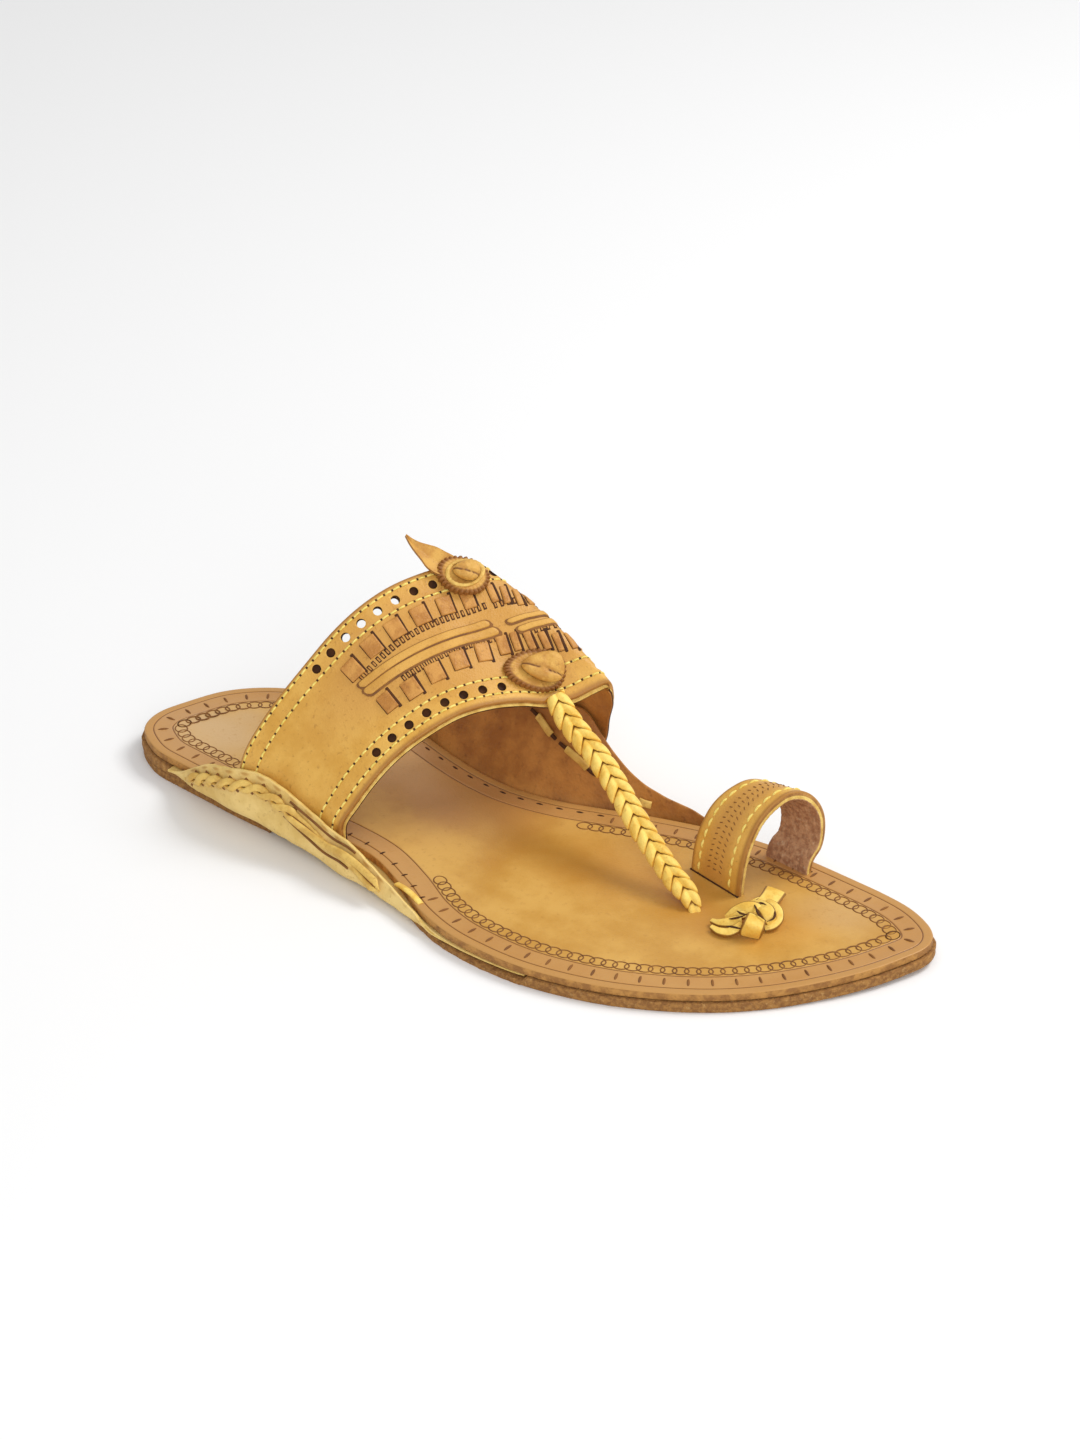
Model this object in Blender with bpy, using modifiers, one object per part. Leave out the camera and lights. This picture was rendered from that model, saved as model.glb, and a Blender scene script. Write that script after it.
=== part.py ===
"""Flat leather sandal for the right foot, with an instep band, a toe loop and a plaited cord.

Metres, +Z up, toe along +Y, outer side of the foot along +X. The sandal stands empty on z = 0.
"""
import math

import bpy
import bmesh
import numpy as np
from mathutils import Matrix, Vector

for old in list(bpy.data.objects):
    bpy.data.objects.remove(old, do_unlink=True)

# Sole
SOLE_LENGTH = 0.2830
HALF_WIDTH = 0.0520
OUTSOLE_THICK = 0.0032
INSOLE_THICK = 0.0025
INSOLE_INSET = 0.0010
HEEL_LIFT_HEIGHT = 0.0030
HEEL_LIFT_INSET = 0.0004
HEEL_BREAST_SHARE = 0.25
SHANK_END_SHARE = 0.45
TOE_SPRING = 0.0018
TOE_SPRING_SHARE = 0.86
EDGE_ROUND = 0.0005
LAYER_GAP = 0.0003

# Instep band
BAND_HEIGHT = 0.0790
BAND_WALL = 0.0028
HOLE_WIDTH = 0.0030
FRONT_HOLE_DEPTH = 0.0017
REAR_HOLE_PITCH = 0.0074
FRONT_HOLE_PITCH = 0.0066
WEAVE_SQUARE = 0.0068
WEAVE_PITCH = 0.0096
WEAVE_RAISE = 0.0006
WELT_WIDTH = 0.0028
WELT_RAISE = 0.0008

# Side flaps that hold the band
FLAP_THICK = 0.0013
FLAP_HEIGHT = 0.0330
FLAP_REACH = 0.0146
FLAP_ROOT = 0.0060
LACE_WIDTH = 0.0034
LACE_THICK = 0.0022
INNER_LACE_THICK = 0.0010
LACE_TWIST_PITCH = 0.0130

# Toe loop
LOOP_HEIGHT = 0.0320
LOOP_WALL = 0.0028
LOOP_FOOT_DEPTH = 0.0024

# Plaited cord and knot
PLAIT_WIDTH = 0.0102
PLAIT_THICK = 0.0064
PLAIT_PITCH = 0.0058
KNOT_WIDTH = 0.0110
KNOT_THICK = 0.0062

# Rosettes
FRONT_ROSETTE_WIDTH = 0.0214
FRONT_ROSETTE_DEPTH = 0.0144
REAR_ROSETTE_WIDTH = 0.0176
REAR_ROSETTE_DEPTH = 0.0134
ROSETTE_THICK = 0.0018
REAR_ROSETTE_THICK = 0.0024
FRONT_PAD_HEIGHT = 0.0030
REAR_PAD_HEIGHT = 0.0030
LEAF_WIDTH = 0.0084
LEAF_LENGTH = 0.0232
LEAF_THICK = 0.0011

# Outline of the sole: shares of its length, and of half its width on each side
OUTLINE = [
    ("along", "outer", "inner"),
    (0.00, 0.00, 0.00),
    (0.01, 0.19, -0.22),
    (0.03, 0.29, -0.47),
    (0.06, 0.375, -0.65),
    (0.10, 0.415, -0.78),
    (0.15, 0.455, -0.85),
    (0.20, 0.495, -0.87),
    (0.25, 0.520, -0.845),
    (0.30, 0.520, -0.785),
    (0.35, 0.510, -0.715),
    (0.40, 0.545, -0.670),
    (0.45, 0.675, -0.660),
    (0.50, 0.840, -0.695),
    (0.55, 0.945, -0.775),
    (0.60, 0.990, -0.860),
    (0.65, 1.000, -0.930),
    (0.70, 0.965, -0.980),
    (0.75, 0.895, -1.000),
    (0.80, 0.780, -0.985),
    (0.85, 0.620, -0.955),
    (0.90, 0.390, -0.915),
    (0.94, 0.135, -0.855),
    (0.97, -0.105, -0.765),
    (0.99, -0.325, -0.665),
    (1.00, -0.510, -0.510),
]

# Outer face of the band from its outer foot over the instep to its inner foot. Across is a
# share of half the sole's width, along of its length, up of the band's height. Bow is in mm.
BAND = [
    ("s", "rear across", "rear along", "rear up", "front across", "front along", "front up", "bow"),
    (0.00, 0.564, -0.2848, 0.094, 0.562, -0.1392, 0.071, 0.0),
    (0.05, 0.576, -0.2855, 0.223, 0.562, -0.1385, 0.190, 0.0),
    (0.10, 0.555, -0.2822, 0.332, 0.490, -0.1292, 0.274, 0.0),
    (0.17, 0.455, -0.2702, 0.471, 0.366, -0.1154, 0.382, 0.0),
    (0.24, 0.323, -0.2555, 0.595, 0.224, -0.0993, 0.473, 0.0),
    (0.31, 0.178, -0.2396, 0.711, 0.060, -0.0808, 0.540, 0.0),
    (0.38, 0.032, -0.2229, 0.824, -0.115, -0.0608, 0.587, 0.0),
    (0.45, -0.135, -0.2056, 0.914, -0.300, -0.0401, 0.595, 0.0),
    (0.52, -0.343, -0.1888, 0.968, -0.484, -0.0194, 0.574, 0.0),
    (0.58, -0.531, -0.1730, 0.987, -0.635, -0.0020, 0.541, 0.3),
    (0.63, -0.695, -0.1593, 0.989, -0.766, 0.0130, 0.538, 1.2),
    (0.67, -0.830, -0.1474, 0.978, -0.870, 0.0253, 0.564, 1.8),
    (0.70, -0.915, -0.1385, 0.950, -0.948, 0.0350, 0.578, 1.8),
    (0.74, -0.968, -0.1316, 0.845, -0.985, 0.0372, 0.512, 1.0),
    (0.79, -0.978, -0.1304, 0.692, -0.985, 0.0330, 0.425, 0.2),
    (0.85, -0.986, -0.1327, 0.520, -0.998, 0.0280, 0.327, 0.2),
    (0.92, -0.958, -0.1383, 0.323, -0.940, 0.0224, 0.215, -0.9),
    (1.00, -0.852, -0.1431, 0.120, -0.874, 0.0163, 0.108, -1.4),
]

# Fold and top edge of each flap: along is a share of the sole's length from its middle, out a
# share of the flap's reach past the sole's edge, up a share of the flap's height
OUTER_FLAP = [
    ("along", "fold out", "fold up", "top out", "top up"),
    (-0.4134, 0.055, 0.176, 0.100, 0.175),
    (-0.3922, 0.110, 0.170, 0.075, 0.240),
    (-0.3675, 0.200, 0.158, 0.140, 0.380),
    (-0.3322, 0.260, 0.155, 0.260, 0.575),
    (-0.2968, 0.315, 0.152, 0.350, 0.680),
    (-0.2509, 0.300, 0.142, 0.262, 0.742),
    (-0.2120, 0.430, 0.121, 0.267, 0.667),
    (-0.1837, 0.540, 0.109, 0.285, 0.560),
    (-0.1484, 0.650, 0.091, 0.375, 0.448),
    (-0.1166, 0.745, 0.072, 0.480, 0.430),
    (-0.0848, 0.655, 0.064, 0.430, 0.330),
    (-0.0530, 0.520, 0.064, 0.285, 0.224),
    (-0.0247, 0.365, 0.066, 0.190, 0.172),
    (0.0000, 0.220, 0.070, 0.140, 0.148),
    (0.0212, 0.110, 0.074, 0.178, 0.103),
    (0.0495, 0.060, 0.076, 0.116, 0.079),
    (0.1590, 0.005, 0.077, 0.030, 0.077),
]
INNER_FLAP = [
    ("along", "fold out", "fold up", "top out", "top up"),
    (-0.2544, 0.055, 0.177, 0.100, 0.177),
    (-0.2260, 0.050, 0.203, 0.120, 0.333),
    (-0.1980, 0.050, 0.200, 0.233, 0.576),
    (-0.1625, 0.050, 0.164, 0.548, 0.818),
    (-0.1060, 0.050, 0.123, 0.822, 0.970),
    (-0.0424, 0.050, 0.106, 0.904, 1.000),
    (0.0106, 0.050, 0.105, 0.740, 0.985),
    (0.0283, 0.050, 0.105, 0.657, 0.788),
    (0.0495, 0.050, 0.105, 0.534, 0.606),
    (0.0777, 0.050, 0.105, 0.377, 0.440),
    (0.1095, 0.050, 0.105, 0.233, 0.348),
    (0.1484, 0.050, 0.105, 0.130, 0.273),
    (0.1767, 0.050, 0.090, 0.082, 0.167),
    (0.2050, 0.005, 0.077, 0.030, 0.077),
]

# Toe loop: feet on the insole, then its profile as shares of the span and the height
LOOP_FEET = [
    ("across", "along", "end"),
    (-0.477, 0.1993, "outer rear"),
    (-0.367, 0.2735, "outer front"),
    (-0.910, 0.2555, "inner rear"),
    (-0.858, 0.3138, "inner front"),
]
LOOP_REAR_SHARE = 0.90
LOOP_PROFILE = [
    ("over", "up"),
    (0.000, 0.045),
    (0.010, 0.160),
    (0.030, 0.300),
    (0.110, 0.560),
    (0.260, 0.800),
    (0.455, 0.940),
    (0.650, 1.000),
    (0.857, 0.956),
    (1.035, 0.815),
    (1.135, 0.645),
    (1.165, 0.455),
    (1.120, 0.235),
    (1.020, 0.110),
    (1.000, 0.045),
]

# Plaited cord between the band's front edge and the insole
PLAIT_PATH = [
    ("across", "along", "up"),
    (-0.658, 0.0052, 0.582),
    (-0.645, 0.0110, 0.564),
    (-0.608, 0.0215, 0.535),
    (-0.486, 0.0786, 0.420),
    (-0.321, 0.1496, 0.262),
    (-0.190, 0.2090, 0.150),
    (-0.128, 0.2405, 0.100),
    (-0.106, 0.2480, 0.070),
    (-0.101, 0.2500, 0.052),
]

# Knot on the insole, from its curled end to its tail
KNOT_PATH = [
    ("across", "along", "width", "height"),
    (0.062, 0.2905, 0.30, 0.35),
    (0.035, 0.2960, 0.50, 0.60),
    (-0.020, 0.3080, 0.72, 0.80),
    (-0.095, 0.3210, 0.95, 0.95),
    (-0.165, 0.3260, 1.00, 1.00),
    (-0.235, 0.3230, 0.90, 0.90),
    (-0.310, 0.3160, 0.62, 0.75),
    (-0.400, 0.3110, 0.50, 0.70),
    (-0.505, 0.3080, 0.52, 0.62),
]


def columns(table):
    return np.array([row for row in table[1:]], dtype=float)


def spline(keys, values, at):
    """Smooth curve through a table's rows"""
    keys = np.asarray(keys, float)
    values = np.asarray(values, float)
    at = np.clip(np.asarray(at, float), keys[0], keys[-1])
    slopes = np.gradient(values, keys, axis=0)
    low = np.clip(np.searchsorted(keys, at, side="right") - 1, 0, len(keys) - 2)
    span = keys[low + 1] - keys[low]
    t = (at - keys[low]) / span
    if values.ndim > 1:
        t = t[..., None]
        span = span[..., None]
    start = (1 + 2 * t) * (1 - t) ** 2 * values[low] + t * (1 - t) ** 2 * span * slopes[low]
    end = t * t * (3 - 2 * t) * values[low + 1] + t * t * (t - 1) * span * slopes[low + 1]
    return start + end


def edge(y, side):
    """Distance of the outsole's edge from the middle plane; side is +1 outer or -1 inner"""
    rows = columns(OUTLINE)
    share = np.clip(np.asarray(y, float) / SOLE_LENGTH + 0.5, 0, 1)
    column = 1 if side > 0 else 2
    turns = np.arccos(1 - 2 * rows[:, 0])
    return spline(turns, rows[:, column], np.arccos(1 - 2 * share)) * HALF_WIDTH * side


def under_sole(y):
    """Height of the outsole's lower face"""
    share = np.clip(np.asarray(y, float) / SOLE_LENGTH + 0.5, 0, 1)
    shank = np.clip((share - HEEL_BREAST_SHARE) / (SHANK_END_SHARE - HEEL_BREAST_SHARE), 0, 1)
    toe = np.clip((share - TOE_SPRING_SHARE) / (1 - TOE_SPRING_SHARE), 0, 1)
    fall = 1 - shank * shank * (3 - 2 * shank)
    return (HEEL_LIFT_HEIGHT + LAYER_GAP) * fall + TOE_SPRING * toe * toe


def seam(y):
    """Height of the outsole's upper face"""
    return under_sole(y) + OUTSOLE_THICK


def insole_top(y):
    return seam(y) + LAYER_GAP + INSOLE_THICK


BAND_ROWS = columns(BAND)


def band_ruled(s, w):
    sizes = np.array([HALF_WIDTH, SOLE_LENGTH, BAND_HEIGHT])
    rear = spline(BAND_ROWS[:, 0], BAND_ROWS[:, 1:4], s) * sizes
    front = spline(BAND_ROWS[:, 0], BAND_ROWS[:, 4:7], s) * sizes
    return rear + (front - rear) * np.asarray(w, float)[..., None]


def band_normal(s, w):
    step = 0.001
    along = band_ruled(np.clip(s + step, 0, 1), w) - band_ruled(np.clip(s - step, 0, 1), w)
    over = band_ruled(s, w + step) - band_ruled(s, w - step)
    normal = np.cross(over, along)
    return normal / np.linalg.norm(normal, axis=-1, keepdims=True)


def band_point(s, w, lift=0.0):
    """Point on the band's outer face, lifted along its normal; w runs from rear to front"""
    s = np.asarray(s, float)
    w = np.asarray(w, float)
    bow = spline(BAND_ROWS[:, 0], BAND_ROWS[:, 7], s) * 0.001 * 4 * np.clip(w * (1 - w), 0, 1)
    return band_ruled(s, w) + band_normal(s, w) * np.asarray(bow + lift)[..., None]


def band_frame(s, w):
    """Unit directions at a place on the band: along the arch, towards the front, outward"""
    step = 0.002
    along = band_point(s + step, w) - band_point(s - step, w)
    over = band_point(s, w + step) - band_point(s, w - step)
    normal = band_normal(np.asarray(s, float), np.asarray(w, float))
    first = along / np.linalg.norm(along)
    second = np.cross(first, normal)
    return first, second, normal, along / (2 * step), over / (2 * step)


def on_band(place, u, v, lift):
    """Point at u metres along and v metres forward of a place, following the band's face"""
    first, second, normal, along, over = band_frame(*place)
    basis = np.array([[along @ first, over @ first], [along @ second, over @ second]])
    steps = np.linalg.solve(basis, np.array([np.ravel(u), np.ravel(v)]))
    shape = np.shape(u)
    s = place[0] + steps[0].reshape(shape)
    w = place[1] + steps[1].reshape(shape)
    return band_point(s, w, lift)


# Collections
sandal = bpy.data.collections.new("toe_loop_sandal")
bpy.context.scene.collection.children.link(sandal)
cutters = bpy.data.collections.new("cutters")
bpy.context.scene.collection.children.link(cutters)


def leather(name, colour, roughness):
    made = bpy.data.materials.new(name)
    made.use_nodes = True
    shader = made.node_tree.nodes["Principled BSDF"]
    shader.inputs["Base Color"].default_value = (*colour, 1.0)
    shader.inputs["Roughness"].default_value = roughness
    made.diffuse_color = (*colour, 1.0)
    return made


def add(name, mesh_bm, material=None):
    """Puts a finished bmesh in the scene as one named object, or as a cutter"""
    bmesh.ops.recalc_face_normals(mesh_bm, faces=mesh_bm.faces[:])
    mesh = bpy.data.meshes.new(name)
    mesh_bm.to_mesh(mesh)
    mesh_bm.free()
    made = bpy.data.objects.new(name, mesh)
    if material is None:
        cutters.objects.link(made)
        made.hide_render = True
        made.display_type = "WIRE"
    else:
        sandal.objects.link(made)
        mesh.materials.append(material)
    return made


def solidify(made, thickness, offset):
    wall = made.modifiers.new("wall", "SOLIDIFY")
    wall.thickness = thickness
    wall.offset = offset
    wall.use_even_offset = True


def soften(made, width, degrees=50):
    rounding = made.modifiers.new("edge rounding", "BEVEL")
    rounding.width = width
    rounding.segments = 1
    rounding.limit_method = "ANGLE"
    rounding.angle_limit = math.radians(degrees)


def boolean(made, tool, operation):
    step = made.modifiers.new(tool.name, "BOOLEAN")
    step.operation = operation
    step.solver = "EXACT"
    step.object = tool


def sheet(grid):
    """Loft of a grid of points, rows by columns, as a bmesh"""
    bm = bmesh.new()
    rows = [[bm.verts.new(point) for point in row] for row in grid]
    for low, high in zip(rows[:-1], rows[1:]):
        for k in range(len(low) - 1):
            bm.faces.new((low[k], low[k + 1], high[k + 1], high[k]))
    return bm


def lofted(rings):
    """Loft of closed rings with capped ends, as a bmesh"""
    bm = bmesh.new()
    loops = [[bm.verts.new(point) for point in ring] for ring in rings]
    for low, high in zip(loops[:-1], loops[1:]):
        for k in range(len(low)):
            following = (k + 1) % len(low)
            bm.faces.new((low[k], low[following], high[following], high[k]))
    bm.faces.new(loops[0])
    bm.faces.new(list(reversed(loops[-1])))
    return bm


def box_grid(low, high):
    """Closed patch between two matching grids of points, as a bmesh"""
    bm = bmesh.new()
    under = [[bm.verts.new(point) for point in row] for row in low]
    over = [[bm.verts.new(point) for point in row] for row in high]
    for layer in (under, over):
        for a, b in zip(layer[:-1], layer[1:]):
            for k in range(len(a) - 1):
                bm.faces.new((a[k], a[k + 1], b[k + 1], b[k]))
    rim = [(0, k) for k in range(len(under[0]))]
    rim += [(k, len(under[0]) - 1) for k in range(1, len(under))]
    rim += [(len(under) - 1, k) for k in range(len(under[0]) - 2, -1, -1)]
    rim += [(k, 0) for k in range(len(under) - 2, 0, -1)]
    for here, following in zip(rim, rim[1:] + rim[:1]):
        a = under[here[0]][here[1]]
        b = under[following[0]][following[1]]
        c = over[following[0]][following[1]]
        d = over[here[0]][here[1]]
        bm.faces.new((a, b, c, d))
    return bm


def joined(parts):
    """One bmesh that holds several closed ones"""
    whole = bmesh.new()
    for part in parts:
        held = bpy.data.meshes.new("held")
        part.to_mesh(held)
        part.free()
        whole.from_mesh(held)
        bpy.data.meshes.remove(held)
    return whole


# Materials
OUTSOLE_LEATHER = leather("outsole leather", (0.34, 0.19, 0.08), 0.75)
INSOLE_LEATHER = leather("insole leather", (0.62, 0.36, 0.12), 0.55)
BAND_LEATHER = leather("band leather", (0.62, 0.36, 0.12), 0.5)
PALE_LEATHER = leather("pale leather", (0.78, 0.56, 0.22), 0.65)
THONG_LEATHER = leather("thong leather", (0.80, 0.52, 0.15), 0.6)


def outline_ring(inset, start, end, count):
    """Closed plan outline between two shares of the length, moved inward by an inset"""
    turns = np.linspace(math.acos(1 - 2 * start), math.acos(1 - 2 * end), count)
    ys = -np.cos(turns) * SOLE_LENGTH / 2
    outer = np.column_stack([edge(ys, 1), ys])
    inner = np.column_stack([-edge(ys, -1), ys])
    first = 1 if start == 0 else 0
    last = count - 1 if end == 1 else count
    ring = np.vstack([outer, inner[first:last][::-1]])
    before = np.roll(ring, 1, axis=0)
    after = np.roll(ring, -1, axis=0)
    along = (after - before) / np.linalg.norm(after - before, axis=1, keepdims=True)
    inward = np.column_stack([-along[:, 1], along[:, 0]])
    return ring + inward * inset


def slab(name, inset, start, end, base, thick, material, count=37):
    """One leather layer of the sole: the plan is bridged across, then pulled up to its thickness"""
    ring = outline_ring(inset, start, end, count)
    bm = bmesh.new()
    points = [bm.verts.new((x, y, base(y))) for x, y in ring]
    outer = points[:count]
    inner = points[count:][::-1]
    if start == 0:
        inner = [outer[0]] + inner
    if end == 1:
        inner = inner + [outer[-1]]
    for k in range(count - 1):
        corners = [outer[k], outer[k + 1], inner[k + 1], inner[k]]
        bm.faces.new(list(dict.fromkeys(corners)))
    raised = bmesh.ops.extrude_face_region(bm, geom=bm.faces[:])
    lifted = [item for item in raised["geom"] if isinstance(item, bmesh.types.BMVert)]
    bmesh.ops.translate(bm, verts=lifted, vec=(0, 0, thick))
    made = add(name, bm, material)
    soften(made, EDGE_ROUND)
    return made


heel_lift = slab(
    "heel_lift",
    HEEL_LIFT_INSET,
    0,
    HEEL_BREAST_SHARE,
    lambda y: 0.0,
    HEEL_LIFT_HEIGHT,
    OUTSOLE_LEATHER,
    count=17,
)
outsole = slab("outsole", 0.0, 0, 1, under_sole, OUTSOLE_THICK, OUTSOLE_LEATHER)
insole = slab(
    "insole",
    INSOLE_INSET,
    0,
    1,
    lambda y: seam(y) + LAYER_GAP,
    INSOLE_THICK,
    INSOLE_LEATHER,
)


# Side flaps
def flap_section(rows, side, y):
    """Middle line of a flap's leather at one place, from its root in the seam to its top edge"""
    along = y / SOLE_LENGTH
    fold_out, fold_up, top_out, top_up = spline(rows[:, 0], rows[:, 1:], along)
    rim = float(edge(y, side))
    level = float(seam(y)) - FLAP_THICK / 2
    root = np.array([rim - FLAP_ROOT, level])
    lip = np.array([rim - 0.0002, level])
    fold = np.array([rim + fold_out * FLAP_REACH, fold_up * FLAP_HEIGHT])
    top = np.array([rim + top_out * FLAP_REACH, top_up * FLAP_HEIGHT])
    into = fold + (lip - fold) * min(0.45, 0.0022 / np.linalg.norm(lip - fold))
    out = fold + (top - fold) * min(0.45, 0.0022 / np.linalg.norm(top - fold))
    middle = into * 0.25 + fold * 0.5 + out * 0.25
    half = out + (top - out) * 0.5
    return np.array([root, lip, into, middle, out, half, top])


def flap(name, table, side, stations, material):
    """A flap lofted through its sections and given its thickness"""
    rows = columns(table)
    ys = spline(np.linspace(0, 1, len(rows)), rows[:, 0], np.linspace(0, 1, stations)) * SOLE_LENGTH
    grid = []
    for y in ys:
        grid.append([(side * x, y, z) for x, z in flap_section(rows, side, y)])
    made = add(name, sheet(grid), material)
    solidify(made, FLAP_THICK, 0.0)
    return made


def rebate(name, table, side):
    """Cutter for the step in the outsole's upper face where a flap's root lies"""
    rows = columns(table)
    start = rows[0, 0] * SOLE_LENGTH - LAYER_GAP
    end = rows[-1, 0] * SOLE_LENGTH + LAYER_GAP
    ys = np.linspace(start, end, 49)
    reach = FLAP_ROOT + 2 * LAYER_GAP
    depth = FLAP_THICK + LAYER_GAP
    grid = []
    for y in ys:
        rim = float(edge(y, side))
        level = float(seam(y))
        grid.append([(side * (rim - reach), y, level), (side * (rim + 0.004), y, level)])
    low = [[(x, y, z - depth) for x, y, z in row] for row in grid]
    high = [[(x, y, z + 0.002) for x, y, z in row] for row in grid]
    return add(name, box_grid(low, high))


ear_outer = flap("ear_outer", OUTER_FLAP, 1, 30, PALE_LEATHER)
ear_inner = flap("ear_inner", INNER_FLAP, -1, 27, PALE_LEATHER)
boolean(outsole, rebate("outer rebate", OUTER_FLAP, 1), "DIFFERENCE")
boolean(outsole, rebate("inner rebate", INNER_FLAP, -1), "DIFFERENCE")

# Instep band
stations = np.linspace(0, 1, 49)
across = np.linspace(0, 1, 7)
grid = [[band_point(s, w) for w in across] for s in stations]
band = add("band", sheet(grid), BAND_LEATHER)
solidify(band, BAND_WALL, -1.0)


def band_length(w):
    points = band_point(np.linspace(0, 1, 200), np.full(200, w))
    return np.linalg.norm(np.diff(points, axis=0), axis=1).sum()


def patch(place, width, depth, low, high, columns_u, columns_v=2):
    """Closed patch that follows the band's face, centred on a place"""
    u, v = np.meshgrid(
        np.linspace(-width / 2, width / 2, columns_u),
        np.linspace(-depth / 2, depth / 2, columns_v),
        indexing="ij",
    )
    return box_grid(on_band(place, u, v, low), on_band(place, u, v, high))


def strip(start, end, w, width, low, high, count):
    """Closed strip along the band's face between two places on its arch"""
    s = np.linspace(start, end, count)
    half = width / 2 / 0.052
    grid_s, grid_w = np.meshgrid(s, np.array([w - half, w + half]), indexing="ij")
    return box_grid(band_point(grid_s, grid_w, low), band_point(grid_s, grid_w, high))


# Raised squares of the woven rows and the raised welts between them
WEAVE_SQUARES = [
    ("w", "first s", "count"),
    (0.255, 0.338, 5),
    (0.275, 0.696, 2),
    (0.645, 0.309, 4),
    (0.590, 0.703, 2),
]
raised = []
for w, first, count in WEAVE_SQUARES[1:]:
    for k in range(count):
        place = (first + k * WEAVE_PITCH / band_length(w), w)
        raised.append(patch(place, WEAVE_SQUARE, WEAVE_SQUARE, -0.0008, WEAVE_RAISE, 3))
for w in (0.405, 0.482):
    raised.append(strip(0.315, 0.600, w, WELT_WIDTH, -0.0008, WELT_RAISE, 14))
    raised.append(strip(0.632, 0.770, w, WELT_WIDTH, -0.0008, WELT_RAISE, 8))
boolean(band, add("raised weave", joined(raised)), "UNION")


def punch(place, depth):
    """Round punch into the band's outer face at a place"""
    centre = band_point(*place)
    normal = band_normal(np.asarray(place[0], float), np.asarray(place[1], float))
    turn = Vector(normal).to_track_quat("Z", "Y").to_matrix().to_4x4()
    bm = bmesh.new()
    bmesh.ops.create_cone(
        bm,
        cap_ends=True,
        segments=8,
        radius1=HOLE_WIDTH / 2,
        radius2=HOLE_WIDTH / 2,
        depth=depth * 2,
        matrix=Matrix.Translation(centre) @ turn,
    )
    return bm


REAR_HOLE_W = 0.09
FRONT_HOLE_W = 0.855
punches = []
for k in range(13):
    s = 0.308 + k * REAR_HOLE_PITCH / band_length(REAR_HOLE_W)
    if not 0.585 < s < 0.685:
        punches.append(punch((s, REAR_HOLE_W), BAND_WALL * 1.5))
for k in range(15):
    s = 0.216 + k * FRONT_HOLE_PITCH / band_length(FRONT_HOLE_W)
    if not 0.535 < s < 0.675:
        punches.append(punch((s, FRONT_HOLE_W), FRONT_HOLE_DEPTH))
boolean(band, add("punched holes", joined(punches)), "DIFFERENCE")


# Rosettes with pinked rims, and the pads on them
def rosette(name, place, width, depth, turn, low, thick, points, material):
    """Oval disc that follows the band's face, with a pinked rim"""
    angles = np.linspace(0, 2 * math.pi, points, endpoint=False)
    pinked = 1 - 0.05 * (np.arange(points) % 2)
    bm = bmesh.new()
    layers = []
    for lift in (low, low + thick):
        centre = bm.verts.new(on_band(place, np.zeros(1), np.zeros(1), lift)[0])
        loops = []
        for share in (0.5, 0.85, 1.0):
            size = pinked if share == 1.0 else share
            x = np.cos(angles) * size * width / 2
            y = np.sin(angles) * size * depth / 2
            u = x * math.cos(turn) - y * math.sin(turn)
            v = x * math.sin(turn) + y * math.cos(turn)
            ring = on_band(place, u, v, lift)
            loops.append([bm.verts.new(point) for point in ring])
        layers.append((centre, loops))
    for centre, loops in layers:
        for k in range(points):
            following = (k + 1) % points
            bm.faces.new((centre, loops[0][k], loops[0][following]))
            for low_loop, high_loop in zip(loops[:-1], loops[1:]):
                corners = (low_loop[k], low_loop[following], high_loop[following], high_loop[k])
                bm.faces.new(corners)
    under = layers[0][1][-1]
    over = layers[1][1][-1]
    for k in range(points):
        following = (k + 1) % points
        bm.faces.new((under[k], under[following], over[following], over[k]))
    return add(name, bm, material)


def pad(name, place, low, rings, taper, turn, points, material):
    """Domed pad lofted through rings of shares of its length, width and height"""
    length, width, height = rings[0]
    angles = np.linspace(0, 2 * math.pi, points, endpoint=False)
    loops = []
    for share, up in rings[1:]:
        u = np.cos(angles) * length / 2 * share
        v = np.sin(angles) * width / 2 * share * (1 + taper * np.cos(angles))
        x = u * math.cos(turn) - v * math.sin(turn)
        y = u * math.sin(turn) + v * math.cos(turn)
        loops.append(on_band(place, x, y, low + up * height))
    return add(name, lofted(loops), material)


FRONT_ROSETTE = (0.597, 0.775)
REAR_ROSETTE = (0.632, 0.096)
FRONT_ROSETTE_TURN = math.radians(11)
REAR_ROSETTE_TURN = math.radians(28)
rosette_front = rosette(
    "rosette_front",
    FRONT_ROSETTE,
    FRONT_ROSETTE_WIDTH,
    FRONT_ROSETTE_DEPTH,
    FRONT_ROSETTE_TURN,
    LAYER_GAP,
    ROSETTE_THICK,
    40,
    BAND_LEATHER,
)
rosette_rear = rosette(
    "rosette_rear",
    REAR_ROSETTE,
    REAR_ROSETTE_WIDTH,
    REAR_ROSETTE_DEPTH,
    REAR_ROSETTE_TURN,
    LAYER_GAP,
    REAR_ROSETTE_THICK,
    36,
    BAND_LEATHER,
)
DOME = [(0.92, 0.0), (1.0, 0.25), (0.93, 0.6), (0.72, 0.87), (0.36, 1.0)]
pad_front = pad(
    "pad_front",
    (0.612, 0.770),
    3 * LAYER_GAP + ROSETTE_THICK,
    [(0.0150, 0.0100, FRONT_PAD_HEIGHT)] + DOME,
    0.25,
    0.25,
    16,
    BAND_LEATHER,
)
STEPPED = [(1.0, 0.0), (1.0, 0.28), (0.80, 0.40), (0.74, 0.42), (0.70, 0.85), (0.42, 1.0)]
pad_rear = pad(
    "pad_rear",
    (0.634, 0.090),
    3 * LAYER_GAP + REAR_ROSETTE_THICK,
    [(0.0118, 0.0104, REAR_PAD_HEIGHT)] + STEPPED,
    0.05,
    0.3,
    16,
    THONG_LEATHER,
)

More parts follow.
